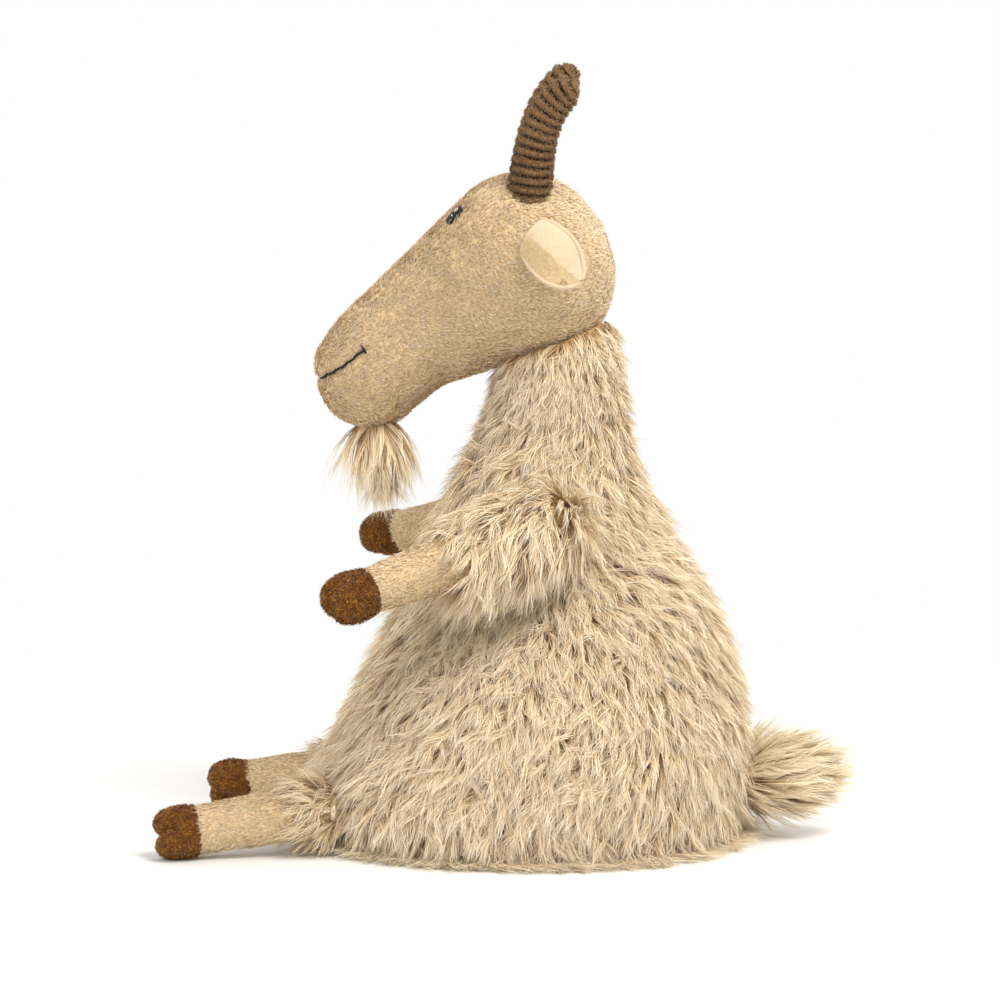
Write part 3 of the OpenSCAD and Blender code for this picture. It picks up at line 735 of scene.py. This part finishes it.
def head_skin():
    # Rows stand closer together towards the nose and the back of the skull
    share = 0.5 - 0.5 * np.cos(np.linspace(0.02, 0.98, 130) * math.pi)
    marks = HEAD_START + (HEAD_END - HEAD_START) * share
    angles = np.linspace(0, -2 * math.pi, 161)[:-1]
    mm, aa = np.meshgrid(marks, angles, indexing="ij")
    skin = Skin(head_point(mm, aa))
    grid, normals = skin.grid, skin.normals
    row = smooth_rows(HEAD_ROWS, mm)

    def groove(at_degrees, depth, width):
        apart = (aa - math.radians(at_degrees) + math.pi) % (2 * math.pi) - math.pi
        return depth * np.exp(-(apart * row[..., 3] / width) ** 2)
    sink = groove(-60, 0.7, 1.0) + groove(-120, 0.7, 1.0) + groove(90, 0.25, 0.9)
    smile = np.hypot(grid[..., 1] - SMILE_CENTRE[0], grid[..., 2] - SMILE_CENTRE[1]) - SMILE_R
    where = np.arctan2(grid[..., 2] - SMILE_CENTRE[1], grid[..., 1] - SMILE_CENTRE[0])
    on_smile = (where < SMILE_END) & (where > SMILE_FRONT - 0.3)
    sink = sink + np.where(on_smile, 1.1 * np.exp(-(smile / 1.7) ** 2), 0)
    lumps = 0.5 * ripple(grid.reshape(-1, 3), 26, 5).reshape(mm.shape)
    return Skin(grid + normals * (lumps - sink)[..., None])


EYE_MARK, EYE_ANGLE = 79.5, math.radians(62)
EYE_LONG, EYE_WIDE = 4.3, 4.6


def near_features(place):
    """True where the embroidery lies, so that no nap covers it."""
    covered = np.zeros(len(place), bool)
    for side in SIDES.values():
        eye = head_point(np.array(EYE_MARK), np.array(EYE_ANGLE)) * np.array([side, 1, 1])
        covered |= np.linalg.norm(place - eye, axis=1) < 3.9
        covered |= np.hypot(place[:, 0] - side * 19, place[:, 1] - 5) + 100 * (place[:, 2] < 236) < 7
    smile = np.hypot(place[:, 1] - SMILE_CENTRE[0], place[:, 2] - SMILE_CENTRE[1]) - SMILE_R
    where = np.arctan2(place[:, 2] - SMILE_CENTRE[1], place[:, 1] - SMILE_CENTRE[0])
    covered |= (np.abs(smile) < 0.7) & (where < SMILE_END) & (where > SMILE_FRONT)
    return covered


NAP_PILE = Pile(length=2.5, width=0.3, gap=0.85, per_lock=3, lift=30, fall=0.6, spread=0.6,
                gather=0.55, wander=16, frizz=0.12, steps=2, wave=0.2)


def build_head():
    skin = head_skin()
    ground = settle(skin.add("head_plush", PLUSH), "head", "short_pile_plush",
                    "head_left_panel", "head_right_panel", "jaw_gusset")

    def flow(place, normal, along, spot):
        side = np.cross(normal, along)
        swirl = np.radians(34) * ripple(place, 7, 31) + np.radians(22) * ripple(place, 22, 32)
        return along * np.cos(swirl)[:, None] + side * np.sin(swirl)[:, None] + [0, 0, -0.35]

    def keep(place, spot):
        return ~near_features(place)
    grown = grow(skin, NAP_PILE, 33, flow, keep)
    for name, side in SIDES.items():
        nap = add_fibres(f"head_nap_{name}", grown, NAP_PILE, NAP, lambda roots: roots[:, 0] * side > 0)
        settle(nap, "head", "short_pile_plush")


# ---- Embroidery -----------------------------------------------------------------------------

def add_threads(name, paths, radius, material, sides=8):
    """Threads as round tubes with tapered ends, joined in one piece."""
    verts, quads, start = [], [], 0
    for path in paths:
        path = np.asarray(path, float)
        way = unit(np.gradient(path, axis=0))
        reference = np.where(np.abs(way @ [1.0, 0, 0])[:, None] < 0.9, [[1.0, 0, 0]], [[0, 0, 1.0]])
        first = unit(np.cross(way, reference))
        second = np.cross(way, first)
        n = len(path)
        taper = np.sqrt(np.clip(1 - (2 * np.linspace(0, 1, n) - 1) ** 6, 0.05, 1))
        angle = np.linspace(0, 2 * math.pi, sides + 1)[:-1]
        cos, sin = np.cos(angle)[None, :, None], np.sin(angle)[None, :, None]
        ring = path[:, None] + radius * taper[:, None, None] * (first[:, None] * cos + second[:, None] * sin)
        verts.append(ring.reshape(-1, 3))
        quads.append(Skin(ring).quads()[:, ::-1] + start)
        start += n * sides
    return add_object(name, np.vstack(verts), np.vstack(quads), None, material)


def eye_threads(side, across, long_half, wide_half, centre, proud, rows):
    """Satin stitches side by side over an oval; centre is an offset along and across the eye."""
    paths = []
    for u in np.linspace(-1, 1, rows + 2)[1:-1]:
        reach = wide_half * math.sqrt(1 - abs(u) ** 2.3)
        v = np.linspace(-reach, reach, 9)
        mark = EYE_MARK + centre[0] + u * long_half
        angle = EYE_ANGLE + (centre[1] + v) / across
        dome = 0.5 * (1 - (v / max(reach, 0.1)) ** 2) * (1 - u * u)
        path = head_point(np.full(9, mark), angle, 0) * np.array([side, 1, 1])
        out = unit(path - (head_point(np.full(9, mark), angle, -5) * np.array([side, 1, 1])))
        paths.append(path + out * (proud + dome)[:, None])
    return paths


def build_eyes():
    across = 33.0
    for name, side in SIDES.items():
        body = eye_threads(side, across, EYE_LONG, EYE_WIDE, (0, 0), 0.25, 15)
        stitches = add_threads(f"eye_{name}_stitches", body, 0.36, DARK_THREAD)
        settle(stitches, "head", "dark_thread", f"eye_{name}")
        shine = eye_threads(side, across, 1.3, 0.75, (1.6, 0.5), 1.0, 3)
        spark = eye_threads(side, across, 0.5, 0.4, (-0.8, -0.9), 1.0, 1)
        settle(add_threads(f"eye_{name}_shine", shine + spark, 0.3, PALE_THREAD), "head", "pale_thread",
               f"eye_{name}_glint")


def build_mouth():
    """Back stitches along the smile, round the front of the muzzle, with a short stitch at each end."""
    stitches = []
    step = math.radians(1.55)
    for side in SIDES.values():
        for a in np.arange(SMILE_FRONT + step / 2, SMILE_END, step):
            turn = np.linspace(a - 0.75 * step, a + 0.75 * step, 5)
            wobble = SMILE_R + 0.22 * math.sin(a * 300)
            y = SMILE_CENTRE[0] + wobble * np.cos(turn)
            z = SMILE_CENTRE[1] + (wobble + np.linspace(-0.18, 0.18, 5)) * np.sin(turn)
            stitches.append(on_head(y, z, side, 0.1))
        end = SMILE_CENTRE + SMILE_R * np.array([math.cos(SMILE_END), math.sin(SMILE_END)])
        tick = np.linspace(-1, 1, 7)[:, None] * np.array([0.5, -0.86])
        for reach, shift in ((2.3, 0.0), (1.3, 0.5)):
            spots = end + tick * reach + [shift * 0.5, -shift * 0.6]
            stitches.append(on_head(spots[:, 0], spots[:, 1], side, 0.1))
    smile = add_threads("mouth_stitches", stitches, 0.5, DARK_THREAD)
    settle(smile, "head", "dark_thread", "mouth_stitching")


# ---- Horns ----------------------------------------------------------------------------------

HORN_BASE = {"left": np.array([19, 4, 240]), "right": np.array([-19, 2, 240])}
HORN_ROOT_R, HORN_TIP_R = 9.2, 5.6
HORN_LENGTH = {"left": 65, "right": 71.5}
HORN_CURL = {"left": 63, "right": 56}
HORN_LEAN = 3
WALE = 3.6
CORD_PILE = Pile(length=1.1, width=0.24, gap=0.55, per_lock=2, lift=60, fall=0.3, spread=0.6,
                 gather=0.3, wander=60, frizz=0.12, steps=2, wave=0.2)


def horn_skin(side, base, length, curl):
    rows, columns = 190, 72
    q = np.linspace(0, 1, rows)
    bend = np.radians(HORN_LEAN + curl * q**3)
    step = length / (rows - 1)
    y = np.concatenate([[0], np.cumsum(np.sin(bend[:-1]) * step)])
    z = np.concatenate([[0], np.cumsum(np.cos(bend[:-1]) * step)])
    angle = np.linspace(0, 2 * math.pi, columns + 1)[:-1]
    qq, uu = np.meshgrid(q, angle, indexing="ij")
    from_end = np.clip((1 - qq) / 0.1, 0, 1)
    rounding = np.sqrt(np.clip(1 - (1 - from_end) ** 2, 0.01, 1))
    radius = (HORN_ROOT_R + (HORN_TIP_R - HORN_ROOT_R) * qq) * rounding
    seam_at = math.radians(-112 if side > 0 else -68)
    apart = (uu - seam_at + math.pi) % (2 * math.pi) - math.pi
    shifted = qq * length + 0.5 * np.sin(uu * 2 + side) + 0.5 * WALE * smooth_step(apart / 0.5 + 0.5)
    wave = np.abs(np.sin(math.pi * shifted / WALE))
    gap = np.exp(-(wave / 0.5) ** 2)
    seam = np.exp(-(apart / 0.13) ** 2)
    lumps = 0.35 * np.sin(shifted * 1.7 + uu * 2) * np.sin(uu * 3 + 1.3)
    relief = 0.45 + lumps - 1.7 * gap * (1 - 0.8 * seam) + 0.55 * seam
    radius = radius + relief * np.clip(from_end * 1.5, 0, 1)
    ring_y, ring_x = radius * np.sin(uu), radius * np.cos(uu)
    bb = bend[:, None]
    grid = base + np.stack([ring_x, y[:, None] + ring_y * np.cos(bb),
                            z[:, None] - ring_y * np.sin(bb)], axis=-1)
    return Skin(grid), gap * (1 - seam)


def cord_material():
    """Corduroy ground, with painted shade darkening the gaps between the wales."""
    material, tree, shader = new_material("cord_ground", 0.85, 0.15)
    data = tree.nodes.new("ShaderNodeAttribute")
    data.attribute_name = "fibre"
    split = tree.nodes.new("ShaderNodeSeparateColor")
    tree.links.new(data.outputs["Color"], split.inputs["Color"])
    # Painted shade: the colour darkens with the gap value, deepest between the wales.
    colour = ramp_node(tree, [(0.0, srgb(136, 104, 68)), (0.5, srgb(72, 45, 20)), (1.0, srgb(38, 20, 7))],
                       split.outputs[0])
    grain = noise(tree, 2200.0, 3.0)
    colour = mixed(tree, "MULTIPLY", 0.5, colour,
                   ramp_node(tree, [(0.3, (0.7, 0.7, 0.7, 1)), (0.7, (1.2, 1.2, 1.2, 1))], grain))
    tree.links.new(colour, shader.inputs["Base Color"])
    add_bump(tree, shader, grain, 0.7, 0.0004)
    return material


CORD_GROUND = cord_material()


def build_horns():
    for name, side in SIDES.items():
        skin, gap = horn_skin(side, HORN_BASE[name], HORN_LENGTH[name], HORN_CURL[name])
        ground = skin.add(f"horn_{name}_cord", CORD_GROUND)
        # The gaps between the wales are stored here to drive the painted shade of the corduroy ground.
        shade = np.ones((len(ground.data.vertices), 4))
        shade[:gap.size, 0] = gap.ravel()
        shade[gap.size:, 0] = 0
        attribute = ground.data.attributes.new("fibre", "FLOAT_COLOR", "POINT")
        attribute.data.foreach_set("color", shade.astype(np.float32).ravel())
        settle(ground, "head", "corduroy", f"horn_{name}_cover")

        def keep(place, spot):
            row = np.clip((spot[:, 0] * (skin.rows - 1)).astype(int), 0, skin.rows - 1)
            column = (spot[:, 1] * skin.columns).astype(int) % skin.columns
            return (gap[row, column] < 0.45) & (np.linalg.norm(place - SKULL, axis=1) > 37.2)

        def flow(place, normal, along, spot):
            return along
        grown = grow(skin, CORD_PILE, 41 + side, flow, keep)
        nap = add_fibres(f"horn_{name}_nap", grown, CORD_PILE, CORD_NAP)
        settle(nap, "head", "corduroy")


# ---- Ears -----------------------------------------------------------------------------------

EAR_LENGTH, EAR_HALF_W, EAR_SKEW = 29, 11, 6
EAR_ROOT_WAY = unit(np.array([0.22, -0.55, -0.81]))
EAR_HANG = np.array([0.43, 0.65, -0.62])
EAR_FACE = unit(np.cross(EAR_ROOT_WAY, EAR_HANG))
EAR_WAY = np.cross(EAR_FACE, EAR_ROOT_WAY)
EAR_FOLD = 0.12
EAR_PILE = Pile(length=2.0, width=0.28, gap=0.75, per_lock=3, lift=30, fall=0.5, spread=0.6,
                gather=0.5, wander=25, frizz=0.12, steps=2)
LINING_PILE = Pile(length=0.9, width=0.2, gap=0.6, per_lock=2, lift=25, fall=0.5, spread=0.6,
                   gather=0.3, wander=14, frizz=0.05, steps=2)


def ear_point(side, q, v, depth):
    """A place on the ear: q runs from root to tip, v from its upper edge to its lower one."""
    width = EAR_HALF_W * (0.72 + 0.95 * q * (1 - q)) * np.sqrt(np.clip(1 - q**4, 0.004, 1))
    fold = np.where(v < EAR_FOLD, (v + 1) / (EAR_FOLD + 1), (1 - v) / (1 - EAR_FOLD))
    rise = 1.2 + 5.0 * np.sin(np.clip(q * 1.15 + 0.12, 0, 1) * math.pi) ** 0.7
    ridge = rise * np.sin(fold * math.pi / 2) ** 0.9
    dish = np.where(v > EAR_FOLD, 1.3 * np.sin(math.pi * np.clip((v - EAR_FOLD) / (1 - EAR_FOLD), 0, 1)), 0)
    p = (PIVOT["ear_left_flap"] + EAR_WAY * (EAR_LENGTH * q - 0.6)[..., None]
         + EAR_ROOT_WAY * (v * width + EAR_SKEW * q)[..., None]
         + EAR_FACE * (ridge * depth - dish * depth * np.sin(q * math.pi))[..., None])
    return p * np.array([side, 1, 1])


def ear_patch(side, low_v, high_v, depth):
    q = np.sin(np.linspace(0, 1, 44) * math.pi / 2)
    v = np.linspace(low_v, high_v, 30)
    qq, vv = np.meshgrid(q, v, indexing="ij")
    return Skin(ear_point(side, qq, vv, depth), outward=-side, closed=False)


def build_ears():
    for name, side in SIDES.items():
        body = f"ear_{name}"
        lining = ear_patch(side, -1, EAR_FOLD, 1.0)
        under = ear_patch(side, EAR_FOLD, 1, 1.0)
        behind = ear_patch(side, -1, 1, -0.18)
        behind = Skin(behind.grid, outward=side, closed=False)
        no_caps = (False, False)
        settle(lining.add(f"ear_{name}_lining", LINING, no_caps), body, "ear_lining", f"ear_{name}_inner")
        settle(behind.add(f"ear_{name}_back", PLUSH, no_caps), body, "short_pile_plush", f"ear_{name}_outer")
        settle(under.add(f"ear_{name}_under", PLUSH, no_caps), body, "short_pile_plush")

        def down_the_ear(place, normal, along, spot):
            return along
        for part, skin, pile, material, slot in (
                ("lining_nap", lining, LINING_PILE, LINING_NAP, "ear_lining"),
                ("under_nap", under, EAR_PILE, LINING_NAP, "short_pile_plush"),
                ("back_nap", behind, EAR_PILE, NAP, "short_pile_plush")):
            nap = add_fibres(f"ear_{name}_{part}", grow(skin, pile, 50 + side, down_the_ear), pile, material)
            settle(nap, body, slot)
        q = np.sin(np.linspace(0.02, 1, 40) * math.pi / 2)
        rims = [ear_point(side, q, np.full(40, edge), 0.5) for edge in (-1.0, 1.0)]
        rim = add_threads(f"ear_{name}_rim", rims, 0.9, LINING, 10)
        settle(rim, body, "ear_lining")


# ---- Limbs ----------------------------------------------------------------------------------

WAYS = {"arm_left": [47, -75, -24], "arm_right": [-38, -75, -16],
        "leg_left": [16, -56, -6.5], "leg_right": [10, -56, -5.5]}
FOREARM_ROOT_R, FOREARM_R, CUFF_AT, ARM_HOOF_AT, ARM_LENGTH = 10.4, 8.8, 39, 79, 98
HIP_R, SHIN_R, LEG_HOOF_R, LEG_HOOF_AT, LEG_LENGTH, RIGHT_LEG_SHORTER = 10.8, 9.6, 9.4, 48, 65, 8
# How far each pair of toes is turned about its limb
ARM_HOOF_ROLL, LEG_HOOF_ROLL = math.radians(12), math.radians(62)
LIMB_NAP = Pile(length=2.3, width=0.28, gap=0.85, per_lock=3, lift=28, fall=0.6, spread=0.6,
                gather=0.5, wander=16, frizz=0.1, steps=2)
HOOF_PILE = Pile(length=1.4, width=0.24, gap=0.6, per_lock=2, lift=45, fall=0.4, spread=0.6,
                 gather=0.3, wander=40, frizz=0.12, steps=2)


def limb_skin(root, way, stations, seed, rows=70, columns=64, lumps=0.35):
    """A round limb from (distance, radius) stations along its own way."""
    ahead, across, up = frame_along(way)
    distance = np.linspace(stations[0][0], stations[-1][0], rows)
    radius = smooth_rows(stations, distance)[:, 1]
    angle = np.linspace(0, 2 * math.pi, columns + 1)[:-1]
    dd, aa = np.meshgrid(distance, angle, indexing="ij")
    rr = np.repeat(radius[:, None], columns, axis=1)
    grid = (root + dd[..., None] * ahead
            + rr[..., None] * (np.cos(aa)[..., None] * up + np.sin(aa)[..., None] * across))
    skin = Skin(grid)
    if np.mean(np.sum(skin.normals * (grid - root - dd[..., None] * ahead), axis=2)) < 0:
        skin = Skin(grid, outward=-1)
    shift = lumps * ripple(grid.reshape(-1, 3), 11, seed).reshape(dd.shape)
    return Skin(grid + skin.normals * shift[..., None], outward=skin.outward)


def hoof_skins(root, way, r, start, end, roll):
    """A round wrist and two stuffed toes side by side; roll turns the pair about the limb."""
    ahead, across, up = frame_along(way)
    aside = across * math.cos(roll) + up * math.sin(roll)
    tall = up * math.cos(roll) - across * math.sin(roll)
    rows, columns = 44, 48
    q = np.sin(np.linspace(0, 1, rows) * math.pi / 2)
    angle = np.linspace(0, 2 * math.pi, columns + 1)[:-1]
    qq, aa = np.meshgrid(q, angle, indexing="ij")
    length = end - start

    def lobe(profile, stretch, width, offset, height, shift):
        size = smooth_rows(profile, qq)[..., 1]
        grid = (root + (start + stretch * length * qq + shift)[..., None] * ahead
                + (offset * smooth_step(qq / 0.3) + width * r * size * np.cos(aa))[..., None] * aside
                + (height * r * size * np.sin(aa))[..., None] * tall)
        skin = Skin(grid)
        middle = grid.mean(axis=1, keepdims=True)
        return skin if np.sum(skin.normals * (grid - middle)) > 0 else Skin(grid, outward=-1)
    wrist = lobe([[0, 0.96], [0.3, 1.06], [0.6, 0.98], [0.85, 0.6], [1, 0.02]], 0.62, 1.0, 0, 1.0, 0)
    toe = [[0, 0.85], [0.25, 1.0], [0.5, 1.03], [0.75, 0.88], [0.92, 0.55], [1, 0.02]]
    toes = [lobe(toe, reach, 0.56, offset * r, 0.94, 0.0) for reach, offset in ((1.0, -0.47), (0.98, 0.47))]
    return [wrist] + toes


def along_limb(place, normal, along, spot):
    return along


def cover_limb(name, body, skins, slot, ground_material, nap_material, pile, seed, *replaced):
    """Plush over one or more skins of a limb; the first skin stands for the CAD nodes."""
    def on_floor(points, rng):
        points[..., 2] = np.maximum(points[..., 2], 0.1)
        return points

    def flow(place, normal, along, spot):
        side = np.cross(normal, along)
        swirl = np.radians(30) * ripple(place, 6, seed)
        return along * np.cos(swirl)[:, None] + side * np.sin(swirl)[:, None]
    for i, skin in enumerate(skins):
        part = name if i == 0 else f"{name}_toe_{i}"
        ground = settle(skin.add(part, ground_material), body, slot, *(replaced if i == 0 else ()))
        grown = grow(skin, pile, seed + 7 * i, flow, None, on_floor)
        nap = add_fibres(f"{part}_nap", grown, pile, nap_material)
        settle(nap, body, slot)


SLEEVE_PILE = Pile(length=20.5, width=0.4, gap=1.95, per_lock=9, lift=40, fall=0.6, spread=0.75,
                   gather=0.78, wander=26, frizz=0.95, droop=0.75, wave=0.9)


def sleeve_flow(place, normal, along, spot):
    """The pile runs down the arm and falls over its sides."""
    side = np.cross(normal, along)
    swirl = np.radians(26) * ripple(place, 16, 71)
    return 0.7 * (along * np.cos(swirl)[:, None] + side * np.sin(swirl)[:, None]) + [0, 0, -0.8]


def build_arms():
    for name, side in SIDES.items():
        body = f"arm_{name}"
        root, way = PIVOT[f"arm_{name}_swing"], WAYS[body]
        stations = [[28, FOREARM_ROOT_R], [45, FOREARM_ROOT_R - 0.3], [65, FOREARM_R + 0.4],
                    [ARM_HOOF_AT, FOREARM_R - 0.4]]
        forearm = limb_skin(root, way, stations, 61 + side)
        cover_limb(f"arm_{name}_forearm_plush", body, [forearm], "short_pile_plush", PLUSH, NAP, LIMB_NAP,
                   63 + side, f"arm_{name}_forearm")
        hoof = hoof_skins(root, way, FOREARM_R, ARM_HOOF_AT, ARM_LENGTH, ARM_HOOF_ROLL * side)
        cover_limb(f"arm_{name}_hoof_plush", body, hoof, "hoof_plush", HOOF_GROUND, HOOF_NAP, HOOF_PILE,
                   66 + side, f"arm_{name}_hoof")
        sleeve = limb_skin(root, way, [[-12, 2], [-10, 6], [-5, 10.2], [0, 11.8], [12, 12.6], [24, 12.4],
                                       [33, 11.6], [CUFF_AT, 10.8]], 69 + side, lumps=0.2)
        ground = settle(sleeve.add(f"arm_{name}_sleeve_backing", FUR_BACKING), body, "long_pile_fur",
                        f"arm_{name}_sleeve")
        fur = add_fibres(f"arm_{name}_sleeve_fur", grow(sleeve, SLEEVE_PILE, 72 + side, sleeve_flow),
                         SLEEVE_PILE, FUR)
        settle(fur, body, "long_pile_fur")


THIGH_PILE = Pile(length=14, width=0.36, gap=1.9, per_lock=10, lift=36, fall=0.6, spread=0.75,
                  gather=0.78, wander=26, frizz=0.95, droop=0.5, wave=0.9)
THIGH_END = 7


def build_legs():
    for name, side in SIDES.items():
        body = f"leg_{name}"
        root, way = PIVOT[f"leg_{name}_lift"], WAYS[body]
        shorter = RIGHT_LEG_SHORTER if side == RIGHT else 0
        at = LEG_HOOF_AT - shorter
        shin = limb_skin(root, way, [[-9, 3], [-6, 8], [0, HIP_R - 0.6], [12, HIP_R - 1.0],
                                     [at * 0.7, SHIN_R], [at, SHIN_R - 0.6]], 81 + side)
        cover_limb(f"leg_{name}_shin_plush", body, [shin], "short_pile_plush", PLUSH, NAP, LIMB_NAP,
                   83 + side, f"leg_{name}_cover")
        hoof = hoof_skins(root, way, LEG_HOOF_R, at, LEG_LENGTH - shorter, LEG_HOOF_ROLL * side)
        cover_limb(f"leg_{name}_hoof_plush", body, hoof, "hoof_plush", HOOF_GROUND, HOOF_NAP, HOOF_PILE,
                   86 + side, f"leg_{name}_hoof")
        thigh = limb_skin(root, way, [[-6, 8], [0, HIP_R - 0.4], [THIGH_END, HIP_R - 0.8]], 88 + side)
        grown = grow(thigh, THIGH_PILE, 89 + side, along_limb, None, keep_above_floor)
        fur = add_fibres(f"leg_{name}_thigh_fur", grown, THIGH_PILE, FUR)
        settle(fur, body, "long_pile_fur")


# ---- Tail and beard -------------------------------------------------------------------------

TAIL_PILE = Pile(length=24, width=0.4, gap=1.9, per_lock=10, lift=30, fall=0.6, spread=0.8,
                 gather=0.8, wander=16, frizz=0.75, droop=0.05)
BEARD_PILE = Pile(length=27, width=0.36, gap=1.7, per_lock=10, lift=26, fall=1.0, spread=0.8,
                  gather=0.8, wander=12, frizz=0.6, droop=0.2)


def build_tail():
    skin = limb_skin(PIVOT["tail_wag"], [0, 1, 0.12],
                     [[-8, 2], [-6, 5], [0, 8.6], [8, 9.6], [18, 8.6], [26, 5], [29, 1]], 91, lumps=0.2)
    settle(skin.add("tail_backing", FUR_BACKING), "tail", "long_pile_fur", "tail_fur")
    grown = grow(skin, TAIL_PILE, 92, along_limb, None, keep_above_floor)
    fur = add_fibres("tail_pile", grown, TAIL_PILE, TUFT_FUR)
    settle(fur, "tail", "long_pile_fur")


def build_beard():
    skin = limb_skin(PIVOT["beard_swing"] + [0, 2.5, 2.5], [0, 0.07, -1],
                     [[0, 6.5], [3, 7.4], [8, 7.2], [13, 4.4], [16, 1]], 95, rows=30, columns=36, lumps=0.1)
    settle(skin.add("beard_backing", FUR_BACKING), "beard", "long_pile_fur", "beard")
    fur = add_fibres("beard_pile", grow(skin, BEARD_PILE, 96, along_limb), BEARD_PILE, TUFT_FUR)
    settle(fur, "beard", "long_pile_fur")


build_torso()
build_head()
build_eyes()
build_mouth()
build_horns()
build_ears()
build_arms()
build_legs()
build_tail()
build_beard()
